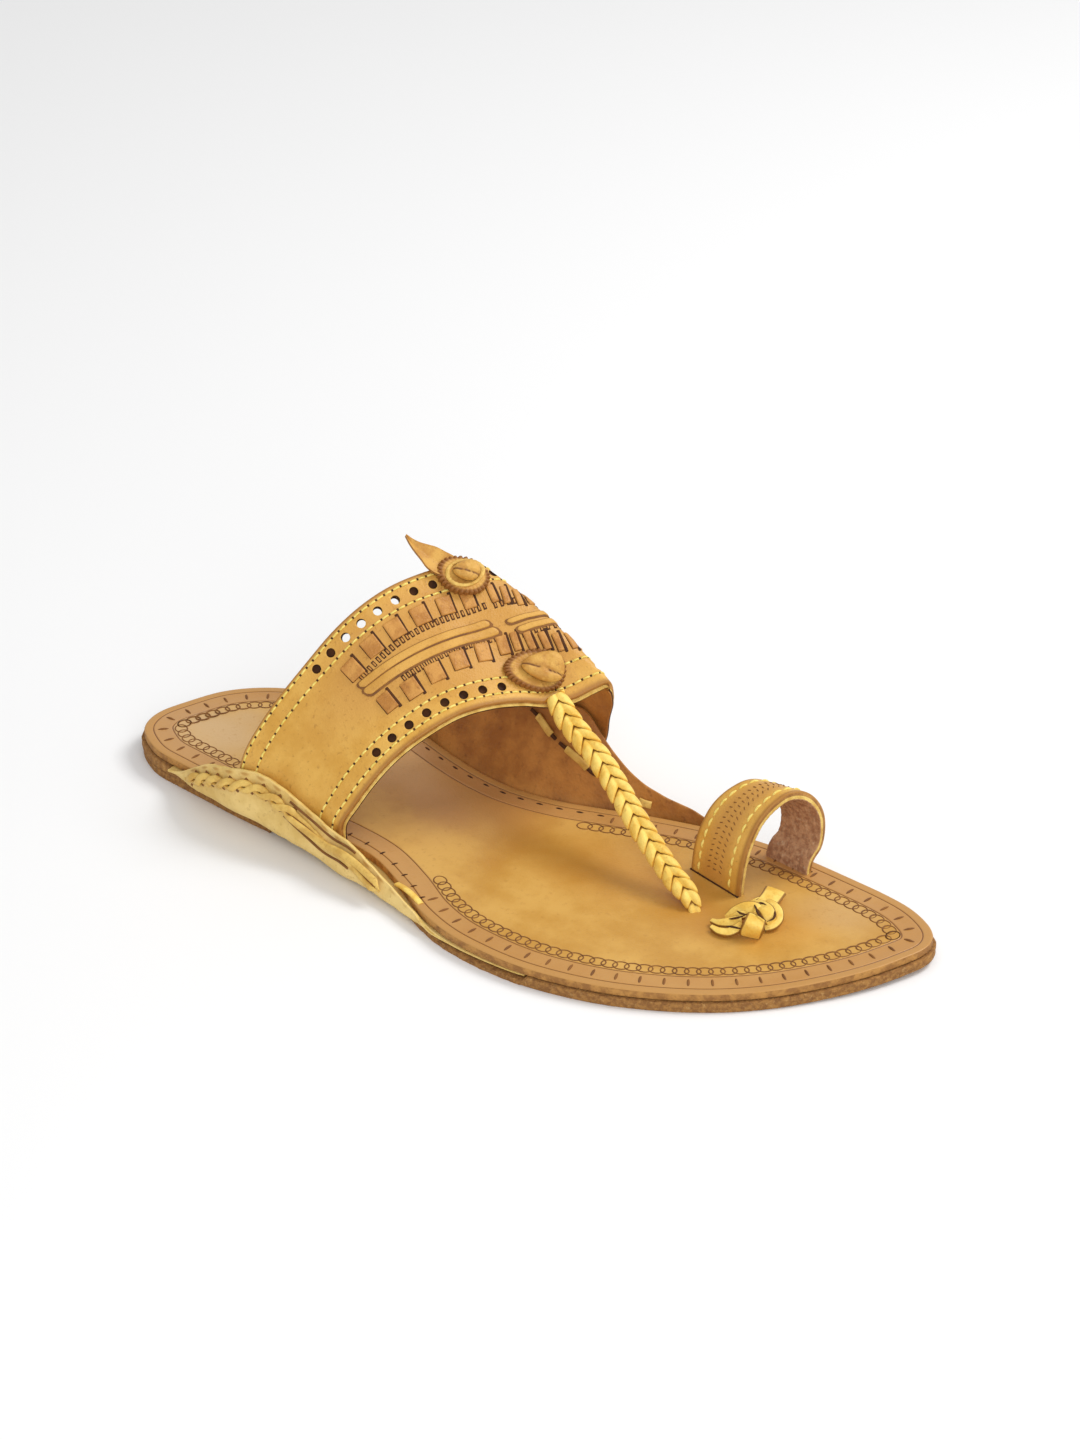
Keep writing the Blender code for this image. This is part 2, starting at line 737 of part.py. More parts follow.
# Leaf that is held under the rear rosette and curls up behind the band
LEAF = [
    ("along", "width", "lift", "sway"),
    (0.00, 0.80, 0.00, 0.00),
    (0.15, 0.95, 0.00, 0.00),
    (0.30, 1.00, 0.00, 0.00),
    (0.42, 1.00, 0.02, 0.02),
    (0.54, 0.92, 0.04, 0.02),
    (0.66, 0.76, 0.06, 0.00),
    (0.78, 0.54, 0.08, -0.03),
    (0.90, 0.30, 0.10, -0.08),
    (1.00, 0.07, 0.13, -0.14),
]
LEAF_TURN = math.radians(222)


def leaf_grid(rows, widen, lift):
    grid = []
    for along, width, rise, sway in rows:
        run = along * LEAF_LENGTH - 0.001 + (widen if along == rows[-1][0] else 0)
        half = width * LEAF_WIDTH / 2 + widen
        side = np.array([-half, 0.0, half]) + sway * LEAF_LENGTH
        u = run * math.sin(LEAF_TURN) + side * math.cos(LEAF_TURN)
        v = run * math.cos(LEAF_TURN) - side * math.sin(LEAF_TURN)
        grid.append(on_band(REAR_ROSETTE, u, v, lift + rise * LEAF_LENGTH * 0.5))
    return grid


low_leaf = leaf_grid(LEAF[1:], 0, LAYER_GAP)
high_leaf = leaf_grid(LEAF[1:], 0, LAYER_GAP + LEAF_THICK)
leaf = add("leaf", box_grid(low_leaf, high_leaf), BAND_LEATHER)
groove_rows = [(-0.02, 0.86, 0.0, 0.0)] + LEAF[2:5]
low_groove = leaf_grid(groove_rows, LAYER_GAP, -0.001)
high_groove = leaf_grid(groove_rows, LAYER_GAP, 2 * LAYER_GAP + LEAF_THICK)
boolean(rosette_rear, add("leaf groove", box_grid(low_groove, high_groove)), "DIFFERENCE")


# Toe loop
FEET = {row[2]: (row[0] * HALF_WIDTH, row[1] * SOLE_LENGTH) for row in LOOP_FEET[1:]}


def loop_point(front, over, up):
    """Point of the loop's outer face; front runs from 0 at the rear edge to 1 at the front"""
    outer = np.array(FEET["outer rear"]) * (1 - front) + np.array(FEET["outer front"]) * front
    inner = np.array(FEET["inner rear"]) * (1 - front) + np.array(FEET["inner front"]) * front
    place = outer + (inner - outer) * over
    height = LOOP_HEIGHT * (LOOP_REAR_SHARE + (1 - LOOP_REAR_SHARE) * front)
    return (place[0], place[1], float(insole_top(place[1])) + height * up)


profile = columns(LOOP_PROFILE)
measure = np.r_[0, np.cumsum(np.linalg.norm(np.diff(profile, axis=0), axis=1))]
overs = spline(measure, profile, np.linspace(0, measure[-1], 25))
sunk = -LOOP_FOOT_DEPTH / LOOP_HEIGHT
overs = np.vstack([[0.0, sunk], overs, [1.0, sunk]])
grid = [[loop_point(front, over, up) for front in np.linspace(0, 1, 4)] for over, up in overs]
toe_loop = add("toe_loop", sheet(grid), BAND_LEATHER)
solidify(toe_loop, LOOP_WALL, -1.0)


def slit(name, rear, front, inward):
    """Upright slot in the insole for one foot of the loop"""
    rear = Vector((*rear, 0))
    front = Vector((*front, 0))
    run = (front - rear).normalized()
    side = Vector((-run.y, run.x, 0)) * inward
    centre = (rear + front) / 2 + side * LOOP_WALL / 2
    wide = LOOP_WALL + 2 * LAYER_GAP
    long = (front - rear).length + 2 * LAYER_GAP
    bm = bmesh.new()
    bmesh.ops.create_cube(bm, size=1.0)
    bmesh.ops.scale(bm, vec=(wide, long, 0.03), verts=bm.verts[:])
    turn = Matrix.Rotation(math.atan2(-run.x, run.y), 4, "Z")
    bmesh.ops.transform(bm, matrix=Matrix.Translation(centre) @ turn, verts=bm.verts[:])
    return add(name, bm)


boolean(insole, slit("outer slit", FEET["outer rear"], FEET["outer front"], 1), "DIFFERENCE")
boolean(insole, slit("inner slit", FEET["inner rear"], FEET["inner front"], -1), "DIFFERENCE")


# Plaited cord
def swept(path, widths, thicks, side_hint, sides, ripple):
    """Rings of an oval section along a path; ripple gives each point's share of its radius"""
    tangents = np.gradient(path, axis=0)
    tangents /= np.linalg.norm(tangents, axis=1, keepdims=True)
    angles = np.linspace(0, 2 * math.pi, sides, endpoint=False)
    rings = []
    for k, centre in enumerate(path):
        side = side_hint - tangents[k] * (side_hint @ tangents[k])
        side /= np.linalg.norm(side)
        normal = np.cross(side, tangents[k])
        ring = []
        for angle in angles:
            reach = ripple(k, angle)
            u = math.cos(angle) * widths[k] / 2 * reach
            v = math.sin(angle) * thicks[k] / 2 * reach
            ring.append(centre + side * u + normal * v)
        rings.append(ring)
    return rings


def even(path, count):
    """A path's points spread evenly along its length"""
    measure = np.r_[0, np.cumsum(np.linalg.norm(np.diff(path, axis=0), axis=1))]
    fine = spline(measure, path, np.linspace(0, measure[-1], 400))
    walk = np.r_[0, np.cumsum(np.linalg.norm(np.diff(fine, axis=0), axis=1))]
    at = np.linspace(0, walk[-1], count)
    return np.column_stack([np.interp(at, walk, fine[:, axis]) for axis in range(3)]), walk[-1]


sizes = np.array([HALF_WIDTH, SOLE_LENGTH, BAND_HEIGHT])
plait_path, plait_run = even(columns(PLAIT_PATH) * sizes, 55)
share = np.linspace(0, 1, 55)
plait_width = PLAIT_WIDTH * np.interp(share, [0, 0.06, 0.90, 0.96, 1], [0.8, 1, 0.92, 0.62, 0.45])
plait_thick = PLAIT_THICK * np.interp(share, [0, 0.06, 0.90, 0.96, 1], [0.6, 1, 0.92, 0.60, 0.42])


def plait_ripple(k, angle):
    phase = share[k] * plait_run / PLAIT_PITCH - 0.45 * abs(math.cos(angle))
    return 1 + 0.07 * (2 * (phase % 1.0) - 1)


plait_rings = swept(
    plait_path, plait_width, plait_thick, np.array([0.75, -0.5, -0.25]), 10, plait_ripple
)
braid = add("braid", lofted(plait_rings), THONG_LEATHER)

# Hole in the insole for the end of the plaited cord
bm = bmesh.new()
bmesh.ops.create_cone(bm, cap_ends=True, segments=12, radius1=1, radius2=1, depth=0.03)
bmesh.ops.scale(bm, vec=(0.0042, 0.0046, 1.0), verts=bm.verts[:])
end = columns(PLAIT_PATH)[-2] * sizes
bmesh.ops.translate(bm, vec=(end[0], end[1], 0.0), verts=bm.verts[:])
boolean(insole, add("cord hole", bm), "DIFFERENCE")

# Knot
knot_rows = columns(KNOT_PATH)
fine_share = np.linspace(0, 1, 27)
rows = spline(np.linspace(0, 1, len(knot_rows)), knot_rows, fine_share)
knot_y = rows[:, 1] * SOLE_LENGTH
knot_thick = rows[:, 3] * KNOT_THICK
knot_z = insole_top(knot_y) + LAYER_GAP + knot_thick * 0.56
knot_path = np.column_stack([rows[:, 0] * HALF_WIDTH, knot_y, knot_z])


def knot_ripple(k, angle):
    return 1 + 0.06 * math.sin(fine_share[k] * 30 + 1.5 * math.cos(angle))


knot_rings = swept(
    knot_path, rows[:, 2] * KNOT_WIDTH, knot_thick, np.array([0.0, 1.0, 0.0]), 10, knot_ripple
)
knot = add("knot", lofted(knot_rings), THONG_LEATHER)


# Lacing along the flaps: a two-ply twist outside the outer flap, a flat thong inside the other
LACE_LINES = {
    "outer": [
        ("along", "drop"),
        (-0.375, 0.0030),
        (-0.340, 0.0048),
        (-0.250, 0.0052),
        (-0.150, 0.0050),
        (-0.055, 0.0030),
    ],
    "inner": [
        ("along", "drop"),
        (-0.0700, 0.0034),
        (-0.0460, 0.0070),
        (-0.0280, 0.0112),
        (0.0000, 0.0150),
        (0.0180, 0.0140),
        (0.0420, 0.0092),
        (0.0700, 0.0066),
        (0.1000, 0.0044),
    ],
}


def lacing(name, table, line, side, face, thick, twist_share, count, material):
    rows = columns(table)
    line_rows = columns(LACE_LINES[line])
    alongs = np.linspace(line_rows[0, 0], line_rows[-1, 0], count)
    drops = spline(line_rows[:, 0], line_rows[:, 1], alongs)
    path = []
    outs = []
    for y, drop in zip(alongs * SOLE_LENGTH, drops):
        section = flap_section(rows, side, y)
        leg = section[-1] - section[-3]
        length = np.linalg.norm(leg)
        place = section[-1] - leg / length * min(drop, length * 0.8)
        outward = np.array([leg[1], -leg[0]]) / length * face
        place = place + outward * (FLAP_THICK / 2 + LAYER_GAP + 0.54 * thick)
        path.append((side * place[0], y, place[1]))
        outs.append((side * outward[0], 0.0, outward[1]))
    path = np.array(path)
    run = np.r_[0, np.cumsum(np.linalg.norm(np.diff(path, axis=0), axis=1))]
    tangents = np.gradient(path, axis=0)
    tangents /= np.linalg.norm(tangents, axis=1, keepdims=True)
    angles = np.linspace(0, 2 * math.pi, 8, endpoint=False)
    rings = []
    for k in range(count):
        normal = np.array(outs[k]) - tangents[k] * (np.array(outs[k]) @ tangents[k])
        normal /= np.linalg.norm(normal)
        over = np.cross(normal, tangents[k])
        twist = run[k] / LACE_TWIST_PITCH * 2 * math.pi
        ends = min(1.0, 0.45 + 0.18 * min(k, count - 1 - k))
        ring = []
        for angle in angles:
            reach = ends * (1 - twist_share * math.cos(2 * (angle - twist)))
            u = math.cos(angle) * LACE_WIDTH / 2 * reach
            v = math.sin(angle) * thick / 2 * min(reach, 1.0)
            ring.append(path[k] + over * u + normal * v)
        rings.append(ring)
    return add(name, lofted(rings), material)


lacing_outer = lacing(
    "lacing_outer", OUTER_FLAP, "outer", 1, 1, LACE_THICK, 0.16, 40, THONG_LEATHER
)
lacing_inner = lacing(
    "lacing_inner", INNER_FLAP, "inner", -1, -1, INNER_LACE_THICK, 0.0, 20, THONG_LEATHER
)
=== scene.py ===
# %% [markdown]
# # A toe-loop leather sandal, built and finished piece by piece
#
# The real sandal is cut from vegetable-tanned hide. Two layers of sole leather and a short
# heel lift carry a wide band over the instep, two soft side flaps that fold up around the
# band, a loop for the big toe, and a plaited cord that ends in a knot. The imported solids
# give the frame: every piece below is made in metres, in place, in the same frame.

# %% Load the frame and measure it
import math

import bpy
import numpy as np
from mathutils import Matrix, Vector


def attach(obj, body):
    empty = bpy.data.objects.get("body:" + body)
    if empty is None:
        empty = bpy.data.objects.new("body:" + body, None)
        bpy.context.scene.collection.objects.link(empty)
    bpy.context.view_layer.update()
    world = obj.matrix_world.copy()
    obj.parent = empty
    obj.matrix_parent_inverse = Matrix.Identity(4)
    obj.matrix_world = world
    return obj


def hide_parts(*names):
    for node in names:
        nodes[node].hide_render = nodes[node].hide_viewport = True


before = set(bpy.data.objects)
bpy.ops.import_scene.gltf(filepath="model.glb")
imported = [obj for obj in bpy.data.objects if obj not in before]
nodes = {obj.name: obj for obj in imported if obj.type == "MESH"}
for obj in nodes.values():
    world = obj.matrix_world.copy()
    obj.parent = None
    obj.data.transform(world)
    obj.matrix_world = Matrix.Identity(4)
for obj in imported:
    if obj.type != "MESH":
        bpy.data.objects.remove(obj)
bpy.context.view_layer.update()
print("solids:", ", ".join(sorted(nodes)))

# %% [markdown]
# ## Camera, floor and light
#
# A product photo uses a long lens from a little above, so the camera stands a good metre
# away with a 90 mm lens. The floor is one pale sheet, large enough to fill the frame. A big
# soft lamp behind the toe gives the bright upper faces and the soft shadow on the near
# side; a second, weaker one fills the inside of the band.

# %% Camera at the photo's angle
CAMERA_PLACE = (0.78687, 0.56146, 0.61091)
CAMERA_AIM = (-0.71176, -0.49335, -0.5)
LENS_MM = 90
FILM_HEIGHT_MM = 36


def placed(name, data):
    """New object in the scene that holds a mesh, a camera or a lamp"""
    made = bpy.data.objects.new(name, data)
    bpy.context.scene.collection.objects.link(made)
    return made


def aimed(made, place, direction):
    """Stands a camera or a lamp at a place and turns it along a direction"""
    made.location = place
    made.rotation_mode = "QUATERNION"
    made.rotation_quaternion = Vector(direction).to_track_quat("-Z", "Y")


camera_data = bpy.data.cameras.new("camera")
camera_data.lens = LENS_MM
camera_data.sensor_fit = "VERTICAL"
camera_data.sensor_height = FILM_HEIGHT_MM
camera_data.clip_start = 0.01
camera = placed("camera", camera_data)
aimed(camera, CAMERA_PLACE, CAMERA_AIM)
bpy.context.scene.camera = camera
print("camera looks", round(math.degrees(math.asin(-CAMERA_AIM[2]))), "degrees down")


# %% A helper for given colours, and the pale floor
def tone(red, green, blue):
    """Linear colour from the 0 to 255 numbers of a colour picker"""
    shares = [value / 255 for value in (red, green, blue)]
    return (*(v / 12.92 if v < 0.0431 else ((v + 0.055) / 1.055) ** 2.4 for v in shares), 1.0)


FLOOR_HALF = 4.0
FLOOR_TONE = (0.92, 0.92, 0.92, 1)
floor_mesh = bpy.data.meshes.new("floor")
corners = [(x * FLOOR_HALF, y * FLOOR_HALF, 0) for x, y in ((-1, -1), (1, -1), (1, 1), (-1, 1))]
floor_mesh.from_pydata(corners, [], [(0, 1, 2, 3)])
floor = placed("floor", floor_mesh)
floor_paint = bpy.data.materials.new("pale floor")
floor_paint.use_nodes = True
floor_shader = floor_paint.node_tree.nodes["Principled BSDF"]
for socket, value in (("Base Color", FLOOR_TONE), ("Roughness", 0.7), ("Specular IOR Level", 0.15)):
    floor_shader.inputs[socket].default_value = value
floor_mesh.materials.append(floor_paint)
print("floor is", 2 * FLOOR_HALF, "m wide")

# %% Soft light
bpy.context.scene.view_settings.view_transform = "Standard"
SKY = 0.62
world = bpy.data.worlds.new("studio")
world.use_nodes = True
backdrop = world.node_tree.nodes["Background"]
backdrop.inputs["Color"].default_value = (1.0, 1.0, 1.0, 1)
backdrop.inputs["Strength"].default_value = SKY
bpy.context.scene.world = world
LAMP_TARGET = Vector((0, 0, 0.03))
# Each lamp's name, place, width in metres and watts
LAMPS = [("key", (-0.75, 0.55, 1.15), 0.6, 11), ("fill", (0.9, 0.9, 0.7), 0.9, 7)]
for name, place, size, watts in LAMPS:
    lamp = bpy.data.lights.new(name, "AREA")
    lamp.size = size
    lamp.energy = watts
    aimed(placed(name, lamp), place, LAMP_TARGET - Vector(place))
print("lamps:", ", ".join(row[0] for row in LAMPS))

# %% [markdown]
# ## The sizes that the sandal is cut to
#
# Sole, band, flaps, loop and cord all come from short tables of sections. The same tables
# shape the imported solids, so a piece that is made finer here still lies where its solid is.

# %% Named sizes
SOLE_LENGTH = 0.2830
HALF_WIDTH = 0.0520
OUTSOLE_THICK = 0.0032
INSOLE_THICK = 0.0025
INSOLE_INSET = 0.0010
HEEL_LIFT_HEIGHT = 0.0030
HEEL_LIFT_INSET = 0.0004
HEEL_BREAST_SHARE = 0.25
SHANK_END_SHARE = 0.45
TOE_SPRING = 0.0018
TOE_SPRING_SHARE = 0.86
LAYER_GAP = 0.0003
BAND_HEIGHT = 0.0790
BAND_WALL = 0.0028
FLAP_THICK = 0.0013
FLAP_HEIGHT = 0.0330
FLAP_REACH = 0.0146
FLAP_ROOT = 0.0060
LOOP_HEIGHT = 0.0320
LOOP_WALL = 0.0028
LOOP_FOOT_DEPTH = 0.0024
MM = 0.001
print("sole", SOLE_LENGTH, "by", 2 * HALF_WIDTH, "m")

# %% Tables of sections
# Outline of the sole: shares of its length, and of half its width on each side
OUTLINE = [
    ("along", "outer", "inner"),
    (0.00, 0.00, 0.00),
    (0.01, 0.19, -0.22),
    (0.03, 0.29, -0.47),
    (0.06, 0.375, -0.65),
    (0.10, 0.415, -0.78),
    (0.15, 0.455, -0.85),
    (0.20, 0.495, -0.87),
    (0.25, 0.520, -0.845),
    (0.30, 0.520, -0.785),
    (0.35, 0.510, -0.715),
    (0.40, 0.545, -0.670),
    (0.45, 0.675, -0.660),
    (0.50, 0.840, -0.695),
    (0.55, 0.945, -0.775),
    (0.60, 0.990, -0.860),
    (0.65, 1.000, -0.930),
    (0.70, 0.965, -0.980),
    (0.75, 0.895, -1.000),
    (0.80, 0.780, -0.985),
    (0.85, 0.620, -0.955),
    (0.90, 0.390, -0.915),
    (0.94, 0.135, -0.855),
    (0.97, -0.105, -0.765),
    (0.99, -0.325, -0.665),
    (1.00, -0.510, -0.510),
]

# Outer face of the band from its outer foot over the instep to its inner foot. Across is a
# share of half the sole's width, along of its length, up of the band's height. Bow is in mm.
BAND = [
    ("s", "rear across", "rear along", "rear up", "front across", "front along", "front up", "bow"),
    (0.00, 0.564, -0.2848, 0.094, 0.562, -0.1392, 0.071, 0.0),
    (0.05, 0.576, -0.2855, 0.223, 0.562, -0.1385, 0.190, 0.0),
    (0.10, 0.555, -0.2822, 0.332, 0.490, -0.1292, 0.274, 0.0),
    (0.17, 0.455, -0.2702, 0.471, 0.366, -0.1154, 0.382, 0.0),
    (0.24, 0.323, -0.2555, 0.595, 0.224, -0.0993, 0.473, 0.0),
    (0.31, 0.178, -0.2396, 0.711, 0.060, -0.0808, 0.540, 0.0),
    (0.38, 0.032, -0.2229, 0.824, -0.115, -0.0608, 0.587, 0.0),
    (0.45, -0.135, -0.2056, 0.914, -0.300, -0.0401, 0.595, 0.0),
    (0.52, -0.343, -0.1888, 0.968, -0.484, -0.0194, 0.574, 0.0),
    (0.58, -0.531, -0.1730, 0.987, -0.635, -0.0020, 0.541, 0.3),
    (0.63, -0.695, -0.1593, 0.989, -0.766, 0.0130, 0.538, 1.2),
    (0.67, -0.830, -0.1474, 0.978, -0.870, 0.0253, 0.564, 1.8),
    (0.70, -0.915, -0.1385, 0.950, -0.948, 0.0350, 0.578, 1.8),
    (0.74, -0.968, -0.1316, 0.845, -0.985, 0.0372, 0.512, 1.0),
    (0.79, -0.978, -0.1304, 0.692, -0.985, 0.0330, 0.425, 0.2),
    (0.85, -0.986, -0.1327, 0.520, -0.998, 0.0280, 0.327, 0.2),
    (0.92, -0.958, -0.1383, 0.323, -0.940, 0.0224, 0.215, -0.9),
    (1.00, -0.852, -0.1431, 0.120, -0.874, 0.0163, 0.108, -1.4),
]

# Fold and top edge of each flap: along is a share of the sole's length from its middle, out a
# share of the flap's reach past the sole's edge, up a share of the flap's height
OUTER_FLAP = [
    ("along", "fold out", "fold up", "top out", "top up"),
    (-0.4134, 0.055, 0.176, 0.100, 0.175),
    (-0.3922, 0.110, 0.170, 0.075, 0.240),
    (-0.3675, 0.200, 0.158, 0.140, 0.380),
    (-0.3322, 0.260, 0.155, 0.260, 0.575),
    (-0.2968, 0.315, 0.152, 0.350, 0.680),
    (-0.2509, 0.300, 0.142, 0.262, 0.742),
    (-0.2120, 0.430, 0.121, 0.267, 0.667),
    (-0.1837, 0.540, 0.109, 0.285, 0.560),
    (-0.1484, 0.650, 0.091, 0.375, 0.448),
    (-0.1166, 0.745, 0.072, 0.480, 0.430),
    (-0.0848, 0.655, 0.064, 0.430, 0.330),
    (-0.0530, 0.520, 0.064, 0.285, 0.224),
    (-0.0247, 0.365, 0.066, 0.190, 0.172),
    (0.0000, 0.220, 0.070, 0.140, 0.148),
    (0.0212, 0.110, 0.074, 0.178, 0.103),
    (0.0495, 0.060, 0.076, 0.116, 0.079),
    (0.1590, 0.005, 0.077, 0.030, 0.077),
]
INNER_FLAP = [
    ("along", "fold out", "fold up", "top out", "top up"),
    (-0.2544, 0.055, 0.177, 0.100, 0.177),
    (-0.2260, 0.050, 0.203, 0.120, 0.333),
    (-0.1980, 0.050, 0.200, 0.233, 0.576),
    (-0.1625, 0.050, 0.164, 0.548, 0.818),
    (-0.1060, 0.050, 0.123, 0.822, 0.970),
    (-0.0424, 0.050, 0.106, 0.904, 1.000),
    (0.0106, 0.050, 0.105, 0.740, 0.985),
    (0.0283, 0.050, 0.105, 0.657, 0.788),
    (0.0495, 0.050, 0.105, 0.534, 0.606),
    (0.0777, 0.050, 0.105, 0.377, 0.440),
    (0.1095, 0.050, 0.105, 0.233, 0.348),
    (0.1484, 0.050, 0.105, 0.130, 0.273),
    (0.1767, 0.050, 0.090, 0.082, 0.167),
    (0.2050, 0.005, 0.077, 0.030, 0.077),
]

# Toe loop: feet on the insole, then its profile as shares of the span and the height
LOOP_FEET = [
    ("across", "along", "end"),
    (-0.477, 0.1993, "outer rear"),
    (-0.367, 0.2735, "outer front"),
    (-0.910, 0.2555, "inner rear"),
    (-0.858, 0.3138, "inner front"),
]
LOOP_REAR_SHARE = 0.90
LOOP_PROFILE = [
    ("over", "up"),
    (0.000, 0.045),
    (0.010, 0.160),
    (0.030, 0.300),
    (0.110, 0.560),
    (0.260, 0.800),
    (0.455, 0.940),
    (0.650, 1.000),
    (0.857, 0.956),
    (1.035, 0.815),
    (1.135, 0.645),
    (1.165, 0.455),
    (1.120, 0.235),
    (1.020, 0.110),
    (1.000, 0.045),
]

# Plaited cord between the band's front edge and the insole
PLAIT_PATH = [
    ("across", "along", "up"),
    (-0.658, 0.0052, 0.582),
    (-0.645, 0.0110, 0.564),
    (-0.608, 0.0215, 0.535),
    (-0.486, 0.0786, 0.420),
    (-0.321, 0.1496, 0.262),
    (-0.190, 0.2090, 0.150),
    (-0.128, 0.2405, 0.100),
    (-0.106, 0.2480, 0.070),
    (-0.101, 0.2500, 0.052),
]


# %% Smooth curves through the tables
def columns(table):
    """A table's numbers, without its row of headings"""
    return np.array(table[1:], dtype=float)


def run_along(points):
    """Length from the first point to each point, along their line"""
    return np.r_[0, np.cumsum(np.linalg.norm(np.diff(points, axis=0), axis=1))]


def read_off(at, keys, numbers):
    """A table's columns read on straight lines between its rows"""
    return np.column_stack([np.interp(at, keys, column) for column in np.asarray(numbers, float).T])


def full_turn(count):
    return np.linspace(0, 2 * math.pi, count, endpoint=False)


def unit(vectors):
    return vectors / np.linalg.norm(vectors, axis=-1, keepdims=True)


def spline(keys, values, at):
    """Smooth curve through a table's rows"""
    keys, values = np.asarray(keys, float), np.asarray(values, float)
    at = np.clip(np.asarray(at, float), keys[0], keys[-1])
    slopes = np.gradient(values, keys, axis=0)
    low = np.clip(np.searchsorted(keys, at, side="right") - 1, 0, len(keys) - 2)
    span = keys[low + 1] - keys[low]
    t = (at - keys[low]) / span
    if values.ndim > 1:
        t, span = t[..., None], span[..., None]
    start = (1 + 2 * t) * (1 - t) ** 2 * values[low] + t * (1 - t) ** 2 * span * slopes[low]
    end = t * t * (3 - 2 * t) * values[low + 1] + t * t * (t - 1) * span * slopes[low + 1]
    return start + end


def smoothed(rows, count):
    """Smooth line through rows whose first numbers are a place, even along the rows"""
    rows = np.array(rows, dtype=float)
    keys = run_along(rows[:, :3])
    return spline(keys, rows, np.linspace(0, keys[-1], count))


# %% The sole's outline and heights
def sole_share(y):
    return np.clip(np.asarray(y, float) / SOLE_LENGTH + 0.5, 0, 1)


def edge(y, side):
    """Distance of the outsole's edge from the middle plane; side is +1 outer or -1 inner"""
    rows = columns(OUTLINE)
    column = 1 if side > 0 else 2
    turns = np.arccos(1 - 2 * rows[:, 0])
    return spline(turns, rows[:, column], np.arccos(1 - 2 * sole_share(y))) * HALF_WIDTH * side


def under_sole(y):
    """Height of the outsole's lower face"""
    share = sole_share(y)
    shank = np.clip((share - HEEL_BREAST_SHARE) / (SHANK_END_SHARE - HEEL_BREAST_SHARE), 0, 1)
    toe = np.clip((share - TOE_SPRING_SHARE) / (1 - TOE_SPRING_SHARE), 0, 1)
    fall = 1 - shank * shank * (3 - 2 * shank)
    return (HEEL_LIFT_HEIGHT + LAYER_GAP) * fall + TOE_SPRING * toe * toe


def seam(y):
    """Height of the outsole's upper face"""
    return under_sole(y) + OUTSOLE_THICK


def insole_top(y):
    return seam(y) + LAYER_GAP + INSOLE_THICK


def over_insole(plan, lift):
    """Points over the insole's upper face at places on the plan"""
    return np.column_stack([plan, insole_top(plan[:, 1]) + lift])


print("insole lies", round(1000 * float(insole_top(-0.1)), 1), "mm up at the heel")

# %% The band's surface
BAND_ROWS = columns(BAND)
SANDAL_SIZES = np.array([HALF_WIDTH, SOLE_LENGTH, BAND_HEIGHT])


def band_ruled(s, w):
    """Straight line between the band's two edges; s runs over the arch, w from rear to front"""
    rear = spline(BAND_ROWS[:, 0], BAND_ROWS[:, 1:4], s) * SANDAL_SIZES
    front = spline(BAND_ROWS[:, 0], BAND_ROWS[:, 4:7], s) * SANDAL_SIZES
    return rear + (front - rear) * np.asarray(w, float)[..., None]


def band_normal(s, w):
    step = 0.001
    along = band_ruled(np.clip(s + step, 0, 1), w) - band_ruled(np.clip(s - step, 0, 1), w)
    over = band_ruled(s, w + step) - band_ruled(s, w - step)
    return unit(np.cross(over, along))


def band_point(s, w, lift=0.0):
    """Point on the band's outer face, lifted along its normal"""
    s, w = np.asarray(s, float), np.asarray(w, float)
    bow = spline(BAND_ROWS[:, 0], BAND_ROWS[:, 7], s) * MM * 4 * np.clip(w * (1 - w), 0, 1)
    return band_ruled(s, w) + band_normal(s, w) * np.asarray(bow + lift)[..., None]


def band_frame(s, w):
    """Directions at a place on the band: along the arch, towards the front and outward, each
    one long, and then how far a point moves for each share of s and of w"""
    step = 0.002
    along = band_point(s + step, w) - band_point(s - step, w)
    over = band_point(s, w + step) - band_point(s, w - step)
    normal = band_normal(np.asarray(s, float), np.asarray(w, float))
    first = along / np.linalg.norm(along)
    return first, np.cross(first, normal), normal, along / (2 * step), over / (2 * step)


def on_band(place, u, v, lift):
    """Point at u metres along and v metres forward of a place, following the band's face"""
    first, second, _, along, over = band_frame(*place)
    basis = np.array([[along @ first, over @ first], [along @ second, over @ second]])
    steps = np.linalg.solve(basis, np.array([np.ravel(u), np.ravel(v)]))
    s, w = (start + step.reshape(np.shape(u)) for start, step in zip(place, steps))
    return band_point(s, w, lift)


def band_length(w):
    points = band_point(np.linspace(0, 1, 200), np.full(200, w))
    return np.linalg.norm(np.diff(points, axis=0), axis=1).sum()


print("band is", round(1000 * band_length(0.5)), "mm long over the arch")


# %% The flaps' sections and the loop's surface
FLAP_BEND = 0.0022
LIP_INSET = 0.0002


def flap_section(rows, side, y):
    """Middle line of a flap's leather at one place, from its root in the seam to its top edge"""
    fold_out, fold_up, top_out, top_up = spline(rows[:, 0], rows[:, 1:], y / SOLE_LENGTH)
    rim = float(edge(y, side))
    level = float(seam(y)) - FLAP_THICK / 2
    root = np.array([rim - FLAP_ROOT, level])
    lip = np.array([rim - LIP_INSET, level])
    fold = np.array([rim + fold_out * FLAP_REACH, fold_up * FLAP_HEIGHT])
    top = np.array([rim + top_out * FLAP_REACH, top_up * FLAP_HEIGHT])
    into, out = (
        fold + (end - fold) * min(0.45, FLAP_BEND / np.linalg.norm(end - fold)) for end in (lip, top)
    )
    middle = into * 0.25 + fold * 0.5 + out * 0.25
    half = out + (top - out) * 0.5
    return np.array([root, lip, into, middle, out, half, top])


FEET = {row[2]: np.array([row[0] * HALF_WIDTH, row[1] * SOLE_LENGTH]) for row in LOOP_FEET[1:]}


